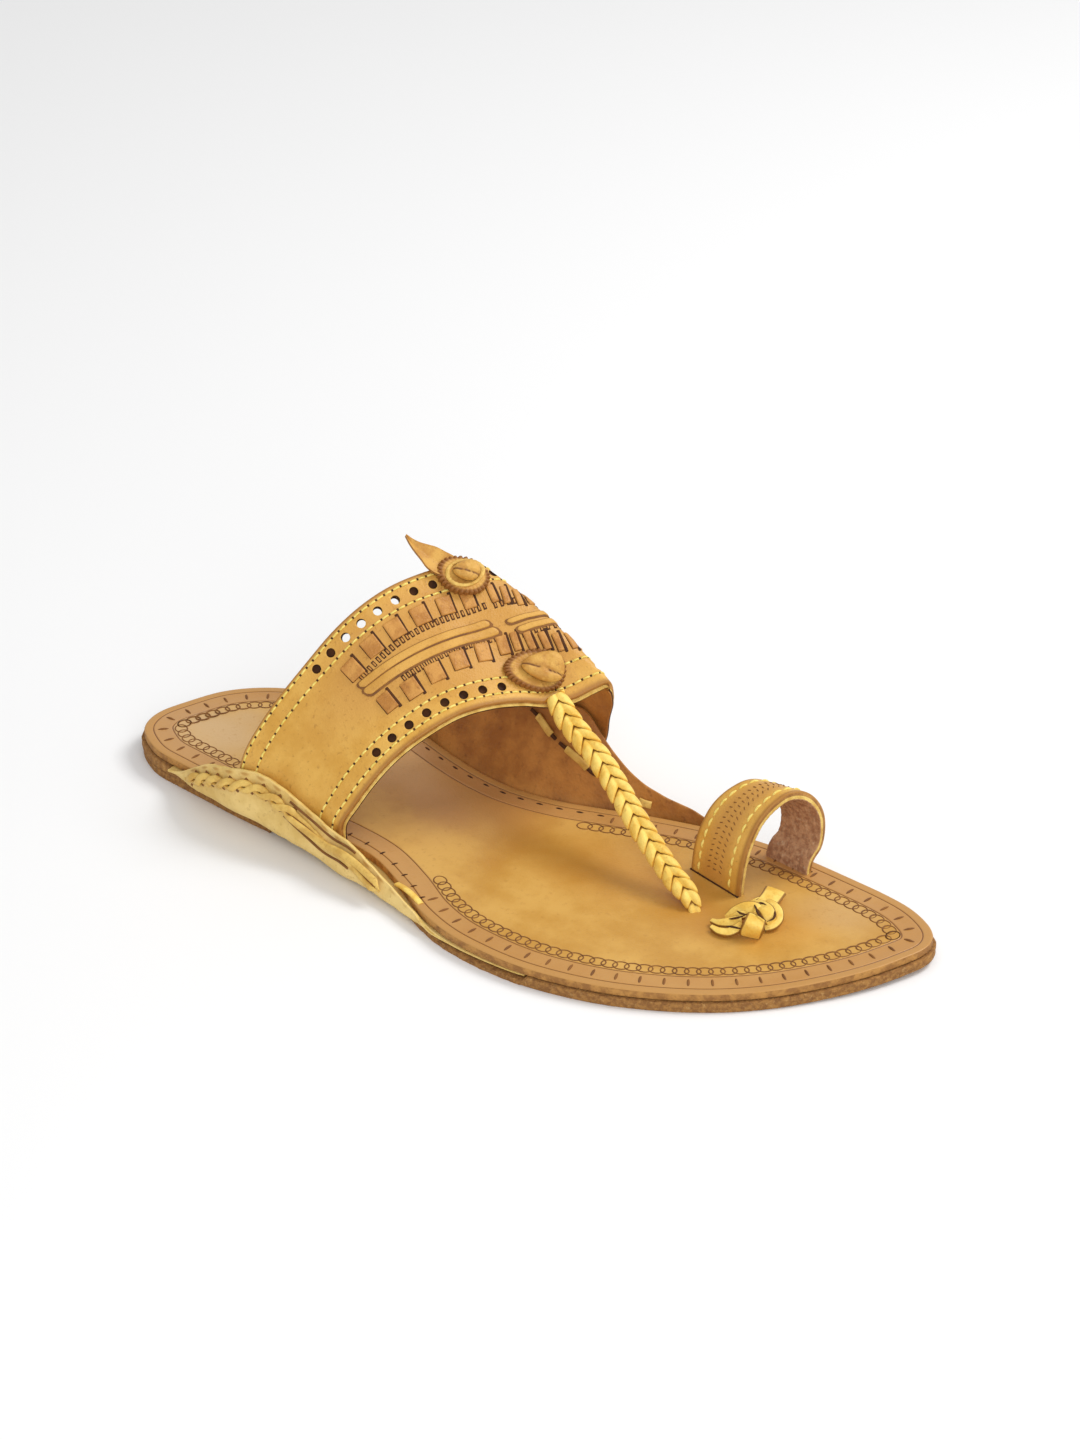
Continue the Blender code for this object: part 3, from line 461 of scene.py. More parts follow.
def loop_point(front, over, up):
    """Point of the loop's outer face; front runs from 0 at the rear edge to 1 at the front"""
    outer, inner = (
        FEET[leg + " rear"] * (1 - front) + FEET[leg + " front"] * front for leg in ("outer", "inner")
    )
    place = outer + (inner - outer) * over
    height = LOOP_HEIGHT * (LOOP_REAR_SHARE + (1 - LOOP_REAR_SHARE) * front)
    return (place[0], place[1], float(insole_top(place[1])) + height * up)


print("loop's legs stand", round(1000 * np.linalg.norm(FEET["outer front"] - FEET["inner front"])), "mm apart")

# %% [markdown]
# ## Helpers that turn grids of points into closed pieces
#
# Every leather piece is a sheet with a real thickness. A sheet is two grids of points, the
# grain side and the flesh side, joined around the rim. Each part of it gets a material of its
# own, because cut edges of hide are paler or darker than its face.


# %% A mesh from points and faces
def piece(name, points, faces, materials, face_slots=None, values=None, sharp=40):
    """One finished mesh at the origin; values holds named numbers for each point"""
    mesh = bpy.data.meshes.new(name)
    mesh.from_pydata(np.asarray(points).tolist(), [], faces)
    for material in materials:
        mesh.materials.append(material)
    if face_slots is not None:
        mesh.polygons.foreach_set("material_index", np.asarray(face_slots, np.int32))
    for key, numbers in (values or {}).items():
        stored = mesh.attributes.new(key, "FLOAT", "POINT")
        stored.data.foreach_set("value", np.asarray(numbers, np.float32))
    mesh.polygons.foreach_set("use_smooth", np.ones(len(mesh.polygons), bool))
    mesh.set_sharp_from_angle(angle=math.radians(sharp))
    mesh.update()
    return placed(name, mesh)


def facing_out(points, faces):
    """Faces of a closed mesh, turned round if the volume inside them comes out negative"""
    total = 0.0
    for size in set(len(face) for face in faces):
        block = np.array([face for face in faces if len(face) == size])
        for k in range(1, size - 1):
            a, b, c = points[block[:, 0]], points[block[:, k]], points[block[:, k + 1]]
            total += np.einsum("ij,ij->i", a, np.cross(b, c)).sum() / 6
    return [face[::-1] for face in faces] if total < 0 else faces


# %% Sheets with two sides and a rim, and tubes with closed ends
def shell_mesh(outer, inner):
    """Points, faces and material slots of a closed sheet between two matching grids"""
    outer, inner = np.asarray(outer), np.asarray(inner)
    n, m = outer.shape[:2]
    k = np.arange((n - 1) * (m - 1))
    a = k // (m - 1) * m + k % (m - 1)
    top = np.column_stack([a, a + 1, a + m + 1, a + m])
    under = top[:, ::-1] + n * m
    border = [j for j in range(m)] + [i * m + m - 1 for i in range(1, n)]
    border += [(n - 1) * m + j for j in range(m - 2, -1, -1)] + [i * m for i in range(n - 2, 0, -1)]
    here, following = np.array(border), np.roll(border, -1)
    rim = np.column_stack([following, here, here + n * m, following + n * m])
    points = np.vstack([outer.reshape(-1, 3), inner.reshape(-1, 3)])
    faces = facing_out(points, np.vstack([top, under, rim]).tolist())
    return points, faces, np.repeat([0, 1, 2], [len(top), len(under), len(rim)])


def shell(name, outer, inner, materials, values=None, sharp=40):
    """Closed sheet as a piece; its materials are grain side, flesh side and rim"""
    points, faces, slots = shell_mesh(outer, inner)
    values = {key: np.tile(np.ravel(grid), 2) for key, grid in (values or {}).items()}
    return piece(name, points, faces, materials, np.minimum(slots, len(materials) - 1), values, sharp)


def tube_mesh(rings):
    """Points and faces of a closed tube through rings, with its ends drawn to a point"""
    rings = np.asarray(rings)
    n, m = rings.shape[:2]
    points = np.vstack([rings.reshape(-1, 3), rings[0].mean(0)[None], rings[-1].mean(0)[None]])
    faces = []
    for i in range(n - 1):
        for j in range(m):
            following = (j + 1) % m
            faces.append([i * m + j, i * m + following, (i + 1) * m + following, (i + 1) * m + j])
    for j in range(m):
        following = (j + 1) % m
        faces.append([n * m, following, j])
        faces.append([n * m + 1, (n - 1) * m + j, (n - 1) * m + following])
    return points, facing_out(points, faces)


def tube(name, rings, material, values, sharp):
    points, faces = tube_mesh(rings)
    return piece(name, points, faces, [material], None, values, sharp)


def many(name, meshes, material, sharp=50, values=None):
    """One piece out of several closed meshes"""
    points, faces, start = [], [], 0
    for some_points, some_faces, *_ in meshes:
        points.append(some_points)
        faces += [[index + start for index in face] for face in some_faces]
        start += len(some_points)
    return piece(name, np.vstack(points), faces, [material], None, values, sharp)


def normals_of(grid):
    return unit(np.cross(np.gradient(grid, axis=0), np.gradient(grid, axis=1)))


# %% Stations and reliefs: where a sheet's rows lie, and how its face rises and falls
def crowded(length, fine, step):
    """Stations from 0 to 1 along a length: close together near both ends, even between"""
    ends = np.cumsum([0, fine, fine, 1.4 * fine, 2 * fine, 3 * fine])
    count = max(2, int(round((length - 2 * ends[-1]) / step)))
    middle = np.linspace(ends[-1], length - ends[-1], count)
    return np.concatenate([ends[:-1], middle, (length - ends[:-1])[::-1]]) / length


def rounded(depth, radius):
    """How far a face has dropped near an edge that is rounded with a radius"""
    short = np.clip(radius - np.asarray(depth, float), 0, radius)
    return radius - np.sqrt(np.maximum(radius**2 - short**2, 0))


def bump(x, centre, half):
    """Smooth hill of height 1 that falls to nothing at half on each side"""
    return np.exp(-(((np.asarray(x) - centre) / half) ** 2))


print("a 50 mm sheet gets", len(crowded(0.050, 0.00014, 0.0008)), "rows of points across")

# %% [markdown]
# ## Node groups for hide
#
# All the leathers share two effects: fine pores with soft clouds of colour, and spots where
# the hide was burnished or stained. Each is one node group with named inputs. It puts out
# masks and heights only; the shader itself stays in each material.


# %% Helpers for node trees
def node_with(tree, kind, inputs=None, **settings):
    """New node in a tree; each input takes a number, or the output of another node"""
    node = tree.nodes.new(kind)
    for key, value in settings.items():
        setattr(node, key, value)
    for socket, value in (inputs or {}).items():
        if isinstance(value, bpy.types.NodeSocket):
            tree.links.new(value, node.inputs[socket])
        else:
            node.inputs[socket].default_value = value
    return node


def new_group(name, kind, inputs, outputs):
    """Empty node group with its input and output nodes. Inputs are (name, socket kind, value
    or None) and outputs are (name, socket kind)"""
    group = bpy.data.node_groups.new(name, kind)
    for label, socket_kind, value in inputs:
        socket = group.interface.new_socket(label, in_out="INPUT", socket_type=socket_kind)
        if value is not None:
            socket.default_value = value
    for label, socket_kind in outputs:
        group.interface.new_socket(label, in_out="OUTPUT", socket_type=socket_kind)
    return group, group.nodes.new("NodeGroupInput").outputs, group.nodes.new("NodeGroupOutput").inputs


def math_node(tree, operation, *numbers):
    return node_with(tree, "ShaderNodeMath", dict(enumerate(numbers)), operation=operation).outputs[0]


def vector_math(tree, operation, result, *vectors):
    node = node_with(tree, "ShaderNodeVectorMath", dict(enumerate(vectors)), operation=operation)
    return node.outputs[result]


def noise_node(tree, vector, scale, detail, rough):
    inputs = {"Vector": vector, "Scale": scale, "Detail": detail, "Roughness": rough}
    return node_with(tree, "ShaderNodeTexNoise", inputs).outputs["Fac"]


def ramp(tree, value, low, high):
    """Turns low to high into 0 to 1, with soft ends"""
    inputs = {"Value": value, "From Min": low, "From Max": high}
    return node_with(tree, "ShaderNodeMapRange", inputs, interpolation_type="SMOOTHSTEP").outputs["Result"]


# %% The hide grain group
FLOAT, VECTOR = "NodeSocketFloat", "NodeSocketVector"
hide_grain, given, result = new_group(
    "hide grain", "ShaderNodeTree",
    [("Vector", VECTOR, None), ("Pores Per Metre", FLOAT, 1500.0), ("Clouds Per Metre", FLOAT, 60.0)],
    [("Height", FLOAT), ("Clouds", FLOAT), ("Flecks", FLOAT)],
)
pores = node_with(
    hide_grain, "ShaderNodeTexVoronoi", {"Vector": given["Vector"], "Scale": given["Pores Per Metre"]}
)
wider = math_node(hide_grain, "MULTIPLY", given["Pores Per Metre"], 0.45)
fine = noise_node(hide_grain, given["Vector"], wider, 4.0, 0.6)
height = math_node(hide_grain, "MULTIPLY_ADD", pores.outputs["Distance"], 0.5, fine)
clouds = noise_node(hide_grain, given["Vector"], given["Clouds Per Metre"], 5.0, 0.62)
hide_grain.links.new(height, result["Height"])
hide_grain.links.new(ramp(hide_grain, clouds, 0.36, 0.64), result["Clouds"])
hide_grain.links.new(ramp(hide_grain, fine, 0.56, 0.74), result["Flecks"])
print("group:", hide_grain.name)

# %% The stain spot group: a soft oval whose edge wanders
WANDER_PER_METRE = 45.0
stain_spot, given, result = new_group(
    "stain spot", "ShaderNodeTree",
    [("Vector", VECTOR, None), ("Centre", VECTOR, None), ("Reach", VECTOR, (0.03, 0.03, 0.03))],
    [("Mask", FLOAT)],
)
away = vector_math(stain_spot, "SUBTRACT", 0, given["Vector"], given["Centre"])
scaled = vector_math(stain_spot, "DIVIDE", 0, away, given["Reach"])
far = vector_math(stain_spot, "LENGTH", "Value", scaled)
wander = noise_node(stain_spot, given["Vector"], WANDER_PER_METRE, 3.0, 0.55)
wandering = math_node(stain_spot, "MULTIPLY_ADD", wander, 0.9, far)
stain_spot.links.new(ramp(stain_spot, wandering, 1.45, 0.45), result["Mask"])
print("group:", stain_spot.name)

# %% [markdown]
# ## Leathers
#
# A leather is a light and a dark tone of one dye, mixed by the clouds, with flecks in the
# pores. Spots and bands of other tones are mixed over that where the real piece is stained,
# rubbed or burnished; some bands are painted shade, laid in folds and creases. The pores also
# feed a bump, so that highlights break up as on hide.

# %% One function for every leather
FLECK_STRENGTH = 0.45
PORE_DEPTH = 0.0004
CLOUD_DULLING = 0.12
GLOSS = 0.35


def mixed(tree, factor, first, second):
    """Colour that goes from the first to the second by a factor"""
    return node_with(tree, "ShaderNodeMix", {0: factor, 6: first, 7: second}, data_type="RGBA").outputs[2]


def leather(name, light, dark, fleck, pores, clouds, rough, relief, spots=(), bands=()):
    """Procedural hide; tones are 0 to 255 numbers. Spots are (centre, reach, tone, strength).
    Bands are (named number, low, high, tone, strength) and follow a number on the points"""
    made = bpy.data.materials.new(name)
    made.use_nodes = True
    tree = made.node_tree
    shader = tree.nodes["Principled BSDF"]
    place = tree.nodes.new("ShaderNodeTexCoord").outputs["Object"]
    inputs = {"Vector": place, "Pores Per Metre": pores, "Clouds Per Metre": clouds}
    grain = node_with(tree, "ShaderNodeGroup", inputs, node_tree=hide_grain).outputs
    colour = mixed(tree, grain["Clouds"], tone(*dark), tone(*light))
    for centre, reach, stain, strength in spots:
        inputs = {"Vector": place, "Centre": centre, "Reach": reach}
        mask = node_with(tree, "ShaderNodeGroup", inputs, node_tree=stain_spot).outputs["Mask"]
        colour = mixed(tree, math_node(tree, "MULTIPLY", mask, strength), colour, tone(*stain))
    for key, low, high, stain, strength in bands:
        number = node_with(tree, "ShaderNodeAttribute", attribute_name=key).outputs["Fac"]
        mask = ramp(tree, number, low, high)
        colour = mixed(tree, math_node(tree, "MULTIPLY", mask, strength), colour, tone(*stain))
    flecks = math_node(tree, "MULTIPLY", grain["Flecks"], FLECK_STRENGTH)
    dull = math_node(tree, "MULTIPLY_ADD", grain["Clouds"], CLOUD_DULLING, rough)
    inputs = {"Strength": relief, "Distance": PORE_DEPTH, "Height": grain["Height"]}
    normal = node_with(tree, "ShaderNodeBump", inputs).outputs["Normal"]
    tree.links.new(mixed(tree, flecks, colour, tone(*fleck)), shader.inputs["Base Color"])
    tree.links.new(dull, shader.inputs["Roughness"])
    tree.links.new(normal, shader.inputs["Normal"])
    shader.inputs["Specular IOR Level"].default_value = GLOSS
    return made


# %% The leathers and threads of this sandal
# After the name: light, dark and fleck tone, pores and clouds per metre, roughness, relief
band_face = leather(
    "golden band leather", (226, 176, 84), (212, 158, 66), (150, 98, 40), 1700, 70, 0.38, 0.35,
    bands=[("panel", 0.2, 0.8, (198, 142, 68), 0.7), ("worn", 0.1, 0.9, (158, 104, 46), 0.8)],
)
band_flesh = leather("brown lining", (192, 130, 60), (156, 98, 42), (120, 72, 30), 900, 60, 0.5, 0.5)
cut_edge = leather("pale cut edge", (238, 208, 120), (214, 172, 84), (166, 116, 46), 2200, 260, 0.65, 0.5)
brown_edge = leather("brown cut edge", (190, 138, 72), (150, 102, 50), (98, 60, 26), 2200, 260, 0.65, 0.6)
tab_face = leather("woven tab leather", (208, 150, 74), (180, 120, 52), (128, 76, 30), 1500, 160, 0.4, 0.45)
sole_rough = leather("rough sole leather", (170, 122, 66), (136, 92, 48), (214, 176, 116), 2000, 620, 0.85, 1.0)
insole_face = leather(
    "burnished insole leather", (214, 166, 84), (196, 144, 62), (184, 132, 62), 1300, 34, 0.30, 0.16,
    spots=[
        ((-0.0185, -0.0243, 0.006), (0.042, 0.050, 0.1), (188, 134, 80), 0.75),
        ((-0.0260, -0.0581, 0.006), (0.030, 0.034, 0.1), (216, 168, 108), 0.75),
        ((-0.0064, 0.0262, 0.006), (0.026, 0.040, 0.1), (186, 128, 48), 0.8),
        ((-0.0026, 0.0751, 0.006), (0.018, 0.024, 0.1), (184, 126, 50), 0.75),
        ((-0.0428, 0.0818, 0.006), (0.018, 0.020, 0.1), (180, 124, 50), 0.7),
        ((-0.0100, 0.1000, 0.006), (0.020, 0.020, 0.1), (206, 146, 60), 0.6),
        ((-0.0290, 0.1082, 0.006), (0.016, 0.022, 0.1), (206, 164, 106), 0.6),
        ((-0.0034, -0.1158, 0.010), (0.034, 0.040, 0.1), (207, 171, 121), 0.95),
    ],
    bands=[
        ("rim", 0.0104, 0.0094, (186, 134, 82), 0.65),
        ("rim", 0.0036, 0.0028, (192, 142, 78), 0.8),
        ("groove", 0.1, 0.9, (122, 74, 32), 0.9),
    ],
)
welt_face = leather("welt leather", (218, 166, 80), (204, 150, 66), (150, 98, 40), 1700, 70, 0.45, 0.35)
# The flap's crease band is painted shade along its lace
flap_face = leather(
    "pale flap leather", (238, 206, 132), (220, 184, 104), (176, 132, 60), 1200, 70, 0.6, 0.35,
    bands=[("crease", 0.1, 0.9, (176, 120, 44), 0.7)],
)
# Its crease band is painted shade between the straps of the plait and the knot
thong_face = leather(
    "thong leather", (250, 216, 112), (234, 186, 76), (188, 128, 40), 1300, 160, 0.45, 0.4,
    bands=[("crease", 0.15, 0.85, (132, 82, 22), 0.92)],
)
lace_face = leather("lace leather", (232, 194, 104), (206, 162, 76), (160, 108, 42), 1300, 160, 0.5, 0.4)
loop_flesh = leather("rough loop lining", (196, 152, 114), (160, 114, 82), (226, 204, 170), 900, 500, 0.85, 1.0)
# Fray darkens the pinked rim; the crease band is painted shade in the pads' folds and at their feet
rosette_face = leather(
    "rosette leather", (216, 166, 80), (192, 136, 58), (130, 82, 34), 1400, 200, 0.45, 0.5,
    bands=[("fray", 0.25, 0.85, (138, 84, 36), 0.9), ("crease", 0.2, 0.9, (110, 64, 26), 0.9)],
)
# Dark tones for the stitches and stamped lines that the leather has, and for painted shade: dark strips and
# plates in slits, holes, gaps and folds, and under tabs and welts
shade_and_stitch_dark = leather("dark slit", (86, 50, 22), (62, 34, 16), (46, 26, 12), 1500, 200, 0.8, 0.2)
stamp_and_shade_dark = leather("stamped line", (140, 92, 42), (118, 74, 32), (96, 58, 26), 1500, 200, 0.6, 0.2)
thread = leather("yellow thread", (248, 226, 128), (232, 204, 98), (196, 158, 66), 2600, 500, 0.6, 0.5)
print(len(bpy.data.materials), "materials")

# %% [markdown]
# ## The sole: heel lift, outsole and insole
#
# Each layer is cut to one outline and its edge is trimmed, so it is built as rings that
# follow the outline: up the side, over the rounded rim and inwards. The grooves scored along
# the insole are rings too, which makes them real and cheap. The middle is bridged across.


# %% Rings along the outline
def ring_of(last_share, count):
    """Closed ring of points along the outline, even on each side: up the outer side from the
    heel, and back down the inner side"""
    turns = np.linspace(0, math.acos(1 - 2 * last_share), 1500)
    ys = -np.cos(turns) * SOLE_LENGTH / 2
    sides = []
    for side in (1, -1):
        fine = np.column_stack([side * edge(ys, side), ys])
        walk = run_along(fine)
        sides.append(read_off(np.linspace(0, walk[-1], count + 1), walk, fine))
    last = count if last_share == 1 else count + 1
    return np.vstack([sides[0], sides[1][1:last][::-1]])


def inset_ring(ring, inset):
    """The ring moved inwards by a length"""
    along = unit(np.roll(ring, -1, axis=0) - np.roll(ring, 1, axis=0))
    for _ in range(3):
        along = (np.roll(along, 1, axis=0) + 2 * along + np.roll(along, -1, axis=0)) / 4
    along = unit(along)
    return ring + np.column_stack([-along[:, 1], along[:, 0]]) * inset


def layer(name, start_inset, last_share, count, rows, base, materials, columns_across, extra=None, dents=None):
    """Layer of the sole. Rows are (inset, height, groove) from the lower rim, up the side and
    inwards; base gives the height under it, extra moves a ring's points, dents lowers the top"""
    ring = ring_of(last_share, count)
    n = len(ring)
    points, rims, grooves = [], [], []
    for inset, height, groove in rows:
        moved = inset_ring(ring, start_inset + inset * MM)
        block = np.column_stack([moved, base(moved[:, 1]) + height * MM])
        points.append(extra(block, ring, inset, height) if extra else block)
        rims.append(np.full(n, inset * MM if height > 0 else 0))
        grooves.append(np.full(n, groove))
    faces, slots = [], []
    for i in range(len(rows) - 1):
        on_side = rows[i][0] < 0.3 and rows[i + 1][0] < 0.3
        for j in range(n):
            following = (j + 1) % n
            faces.append([i * n + j, i * n + following, (i + 1) * n + following, (i + 1) * n + j])
            slots.append(1 if on_side else 0)
    total = len(rows) * n
    for end_row, across in ((0, 2), (len(rows) - 1, columns_across)):
        slot = 0 if end_row else 2
        block = points[end_row]
        previous = [end_row * n] * (across + 1)
        for k in range(1, count + (0 if last_share == 1 else 1)):
            a, b = block[k], block[n - k]
            shares = np.linspace(0, 1, across + 1)[1:-1]
            line = a + (b - a) * shares[:, None]
            ids = [end_row * n + k] + list(range(total, total + len(line))) + [end_row * n + n - k]
            total += len(line)
            points.append(line)
            width = np.linalg.norm(b - a)
            rims.append((rows[-1][0] * MM + np.minimum(shares, 1 - shares) * width) * (end_row > 0))
            grooves.append(np.zeros(len(line)))
            for j in range(across):
                faces.append(list(dict.fromkeys([previous[j], previous[j + 1], ids[j + 1], ids[j]])))
                slots.append(slot)
            previous = ids
        if last_share == 1:
            for j in range(across):
                faces.append(list(dict.fromkeys([previous[j], previous[j + 1], end_row * n + count])))
                slots.append(slot)
    every = np.vstack(points)
    if dents is not None:
        every[:, 2] += dents(every)
    slots = np.minimum(slots, len(materials) - 1)
    values = {"rim": np.concatenate(rims), "groove": np.concatenate(grooves)}
    return piece(name, every, facing_out(every, faces), materials, slots, values, 55)


# %% Trimmed edges, and the heel lift under them
SOLE_SIDES = 300
HEEL_SIDES = 120


def wavering(block, ring, inset, height):
    """Trimmed edge of sole leather, never quite even"""
    if inset > 1.0:
        return block
    k = np.arange(len(block)) / len(block) * 2 * math.pi
    shift = 0.09 * np.sin(37 * k + 2 * height) + 0.07 * np.sin(91 * k + 5 * height) + 0.05 * np.sin(163 * k)
    toward = inset_ring(ring, 1.0) - ring
    block[:, :2] += toward * (shift * MM * np.clip(height, 0, 1))[:, None]
    return block


HEEL_ROWS = [
    (1.2, 0.0, 0), (0.5, 0.0, 0), (0.1, 0.1, 0), (0, 0.45, 0), (0.06, 1.1, 0),
    (0, 1.9, 0), (0.03, 2.6, 0), (0.3, 2.95, 0), (1.2, 3.0, 0),
]
heel = layer(
    "heel_lift_leather", HEEL_LIFT_INSET, HEEL_BREAST_SHARE, HEEL_SIDES, HEEL_ROWS,
    lambda y: np.zeros_like(y), [sole_rough], 3, wavering,
)
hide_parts("heel_lift")
print("heel lift:", len(heel.data.polygons), "faces")


# %% The outsole, with a rebate for the roots of the flaps
def flap_seat(block, ring, inset, height):
    """Rebate for the flaps' roots in the outsole's upper face, and the uneven trimmed edge"""
    block = wavering(block, ring, inset, height)
    y = block[:, 1] / SOLE_LENGTH
    for table, outer_side in ((OUTER_FLAP, True), (INNER_FLAP, False)):
        first, last = table[1][0], table[-1][0]
        within = np.clip((y - first) / 0.004 + 1, 0, 1) * np.clip((last - y) / 0.004 + 1, 0, 1)
        if height > 1.5 and inset < 6.8:
            block[:, 2] -= within * ((ring[:, 0] > 0) == outer_side) * (FLAP_THICK + LAYER_GAP)
    return block


OUTSOLE_ROWS = [
    (6.0, 0, 0), (1.2, 0, 0), (0.5, 0, 0), (0.1, 0.1, 0), (0, 0.4, 0), (0.05, 0.8, 0), (0, 1.2, 0),
    (0.03, 1.55, 0), (0.0, 2.1, 0), (0.02, 2.75, 0), (0.25, 3.15, 0), (0.9, 3.2, 0), (6.7, 3.2, 0),
    (6.9, 3.2, 0), (9, 3.2, 0),
]
outsole = layer(
    "outsole_leather", 0.0, 1, SOLE_SIDES, OUTSOLE_ROWS, under_sole, [sole_rough] * 3, 3, flap_seat
)
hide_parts("outsole")
print("outsole:", len(outsole.data.polygons), "faces")

# %% The insole with its two scored lines, the channel between them and soft hollows
OUTER_LINE = 3.1
INNER_LINE = 9.5
insole_rows = [
    (1.2, 0, 0), (0.5, 0, 0), (0.1, 0.06, 0), (0, 0.3, 0), (0.03, 1.2, 0), (0, 2.0, 0),
    (0.12, 2.34, 0), (0.4, 2.5, 0), (0.9, 2.5, 0), (1.8, 2.5, 0),
]
for line in (OUTER_LINE, INNER_LINE):
    insole_rows += [(line - 0.55, 2.5, 0), (line - 0.28, 2.48, 0.1), (line - 0.1, 2.3, 1)]
    insole_rows += [(line + 0.1, 2.3, 1), (line + 0.28, 2.48, 0.1), (line + 0.55, 2.49, 0)]
    if line == OUTER_LINE:
        insole_rows += [(4.4, 2.45, 0), (5.4, 2.41, 0), (6.4, 2.40, 0), (7.4, 2.42, 0), (8.3, 2.47, 0)]
insole_rows += [(10.6, 2.5, 0)]
HOLLOW_DEPTH = 0.0007


def insole_dents(points):
    """Shallow hollows where heel and ball of the foot press, only well inside the rim"""
    x, y = points[:, 0], points[:, 1]
    inside = np.clip((points[:, 2] - (insole_top(y) - 0.00002)) / 0.00001, 0, 1)
    reach = np.minimum(edge(y, 1) - x, x + edge(y, -1))
    soft = np.clip((reach - 0.014) / 0.02, 0, 1)
    heel_hill = np.exp(-(((x + 0.008) / 0.026) ** 2) - ((y + 0.105) / 0.034) ** 2)
    ball_hill = np.exp(-(((x + 0.005) / 0.034) ** 2) - ((y - 0.045) / 0.044) ** 2)
    return -HOLLOW_DEPTH * inside * soft**2 * (3 - 2 * soft) * (heel_hill + ball_hill)


insole = layer(
    "insole_leather", INSOLE_INSET, 1, SOLE_SIDES, insole_rows, lambda y: seam(y) + LAYER_GAP,
    [insole_face, brown_edge, sole_rough], 30, dents=insole_dents,
)
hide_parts("insole")
print("insole:", len(insole.data.polygons), "faces")

# %% [markdown]
# ## Trees that sew and stamp
#
# Stitches, stamped links and slits repeat along a line, so Geometry Nodes place them. Every
# guide line carries two directions at each point: facing, away from the leather, and heading,
# the way a stitch runs. One tree bends a thread into a stitch, one draws an oval link, and one
# lays a ready piece at every place.


# %% Guides
def guide(lines):
    """Mesh of loose lines; each is (points, facing, heading) or has a fourth list, grow"""
    edges, start = [], 0
    for line in lines:
        edges += [(start + k, start + k + 1) for k in range(len(line[0]) - 1)]
        start += len(line[0])
    full = [line if len(line) > 3 else (*line, np.ones((len(line[0]), 3))) for line in lines]
    points, *directions = (np.vstack([line[k] for line in full]) for k in range(4))
    mesh = bpy.data.meshes.new("guide")
    mesh.from_pydata(points.tolist(), edges, [])
    for key, numbers in zip(("facing", "heading", "grow"), directions):
        stored = mesh.attributes.new(key, "FLOAT_VECTOR", "POINT")
        stored.data.foreach_set("vector", np.asarray(numbers, np.float32).ravel())
    return placed("guide", mesh)


def headings(points):
    """Direction of a line at each of its points, one long"""
    return unit(np.gradient(np.asarray(points, float), axis=0))


# %% The shapes that the trees set down
def combined(tree, *numbers):
    return node_with(tree, "ShaderNodeCombineXYZ", dict(enumerate(numbers))).outputs[0]


def tube_along(tree, curve, width, sides):
    """Round thread around a curve, with closed ends"""
    radius = math_node(tree, "MULTIPLY", width, 0.5)
    profile = node_with(tree, "GeometryNodeCurvePrimitiveCircle", {"Resolution": sides, "Radius": radius})
    inputs = {"Curve": curve, "Profile Curve": profile.outputs["Curve"], "Fill Caps": True}
    return node_with(tree, "GeometryNodeCurveToMesh", inputs).outputs["Mesh"]


def stitch_shape(tree, given):
    """Thread that rises out of one hole and dips into the next"""
    length, width = given["Stitch Length"], given["Thread Width"]
    back, half = (math_node(tree, "MULTIPLY", length, share) for share in (-0.5, 0.5))
    dip, rise = (math_node(tree, "MULTIPLY", width, share) for share in (-0.7, 1.1))
    inputs = {
        "Resolution": 6,
        "Start": combined(tree, back, 0.0, dip),
        "Middle": combined(tree, 0.0, 0.0, rise),
        "End": combined(tree, half, 0.0, dip),
    }
    arc = node_with(tree, "GeometryNodeCurveQuadraticBezier", inputs)
    return tube_along(tree, arc.outputs["Curve"], width, 7)


def link_shape(tree, given):
    """Oval ring pressed half into the leather"""
    ring = node_with(tree, "GeometryNodeCurvePrimitiveCircle", {"Resolution": 20, "Radius": 0.5})
    size = combined(tree, given["Link Length"], given["Link Width"], 1.0)
    oval = node_with(tree, "GeometryNodeTransform", {"Geometry": ring.outputs["Curve"], "Scale": size})
    return tube_along(tree, oval.outputs["Geometry"], given["Line Width"], 6)


def ready_shape(tree, given):
    """A piece that was made before"""
    return node_with(tree, "GeometryNodeObjectInfo", {"Object": given["Piece"]}).outputs["Geometry"]


# %% The trees
GEOMETRY, OBJECT, MATERIAL = "NodeSocketGeometry", "NodeSocketObject", "NodeSocketMaterial"


def vector_attribute(tree, key):
    node = node_with(tree, "GeometryNodeInputNamedAttribute", {"Name": key}, data_type="FLOAT_VECTOR")
    return node.outputs["Attribute"]


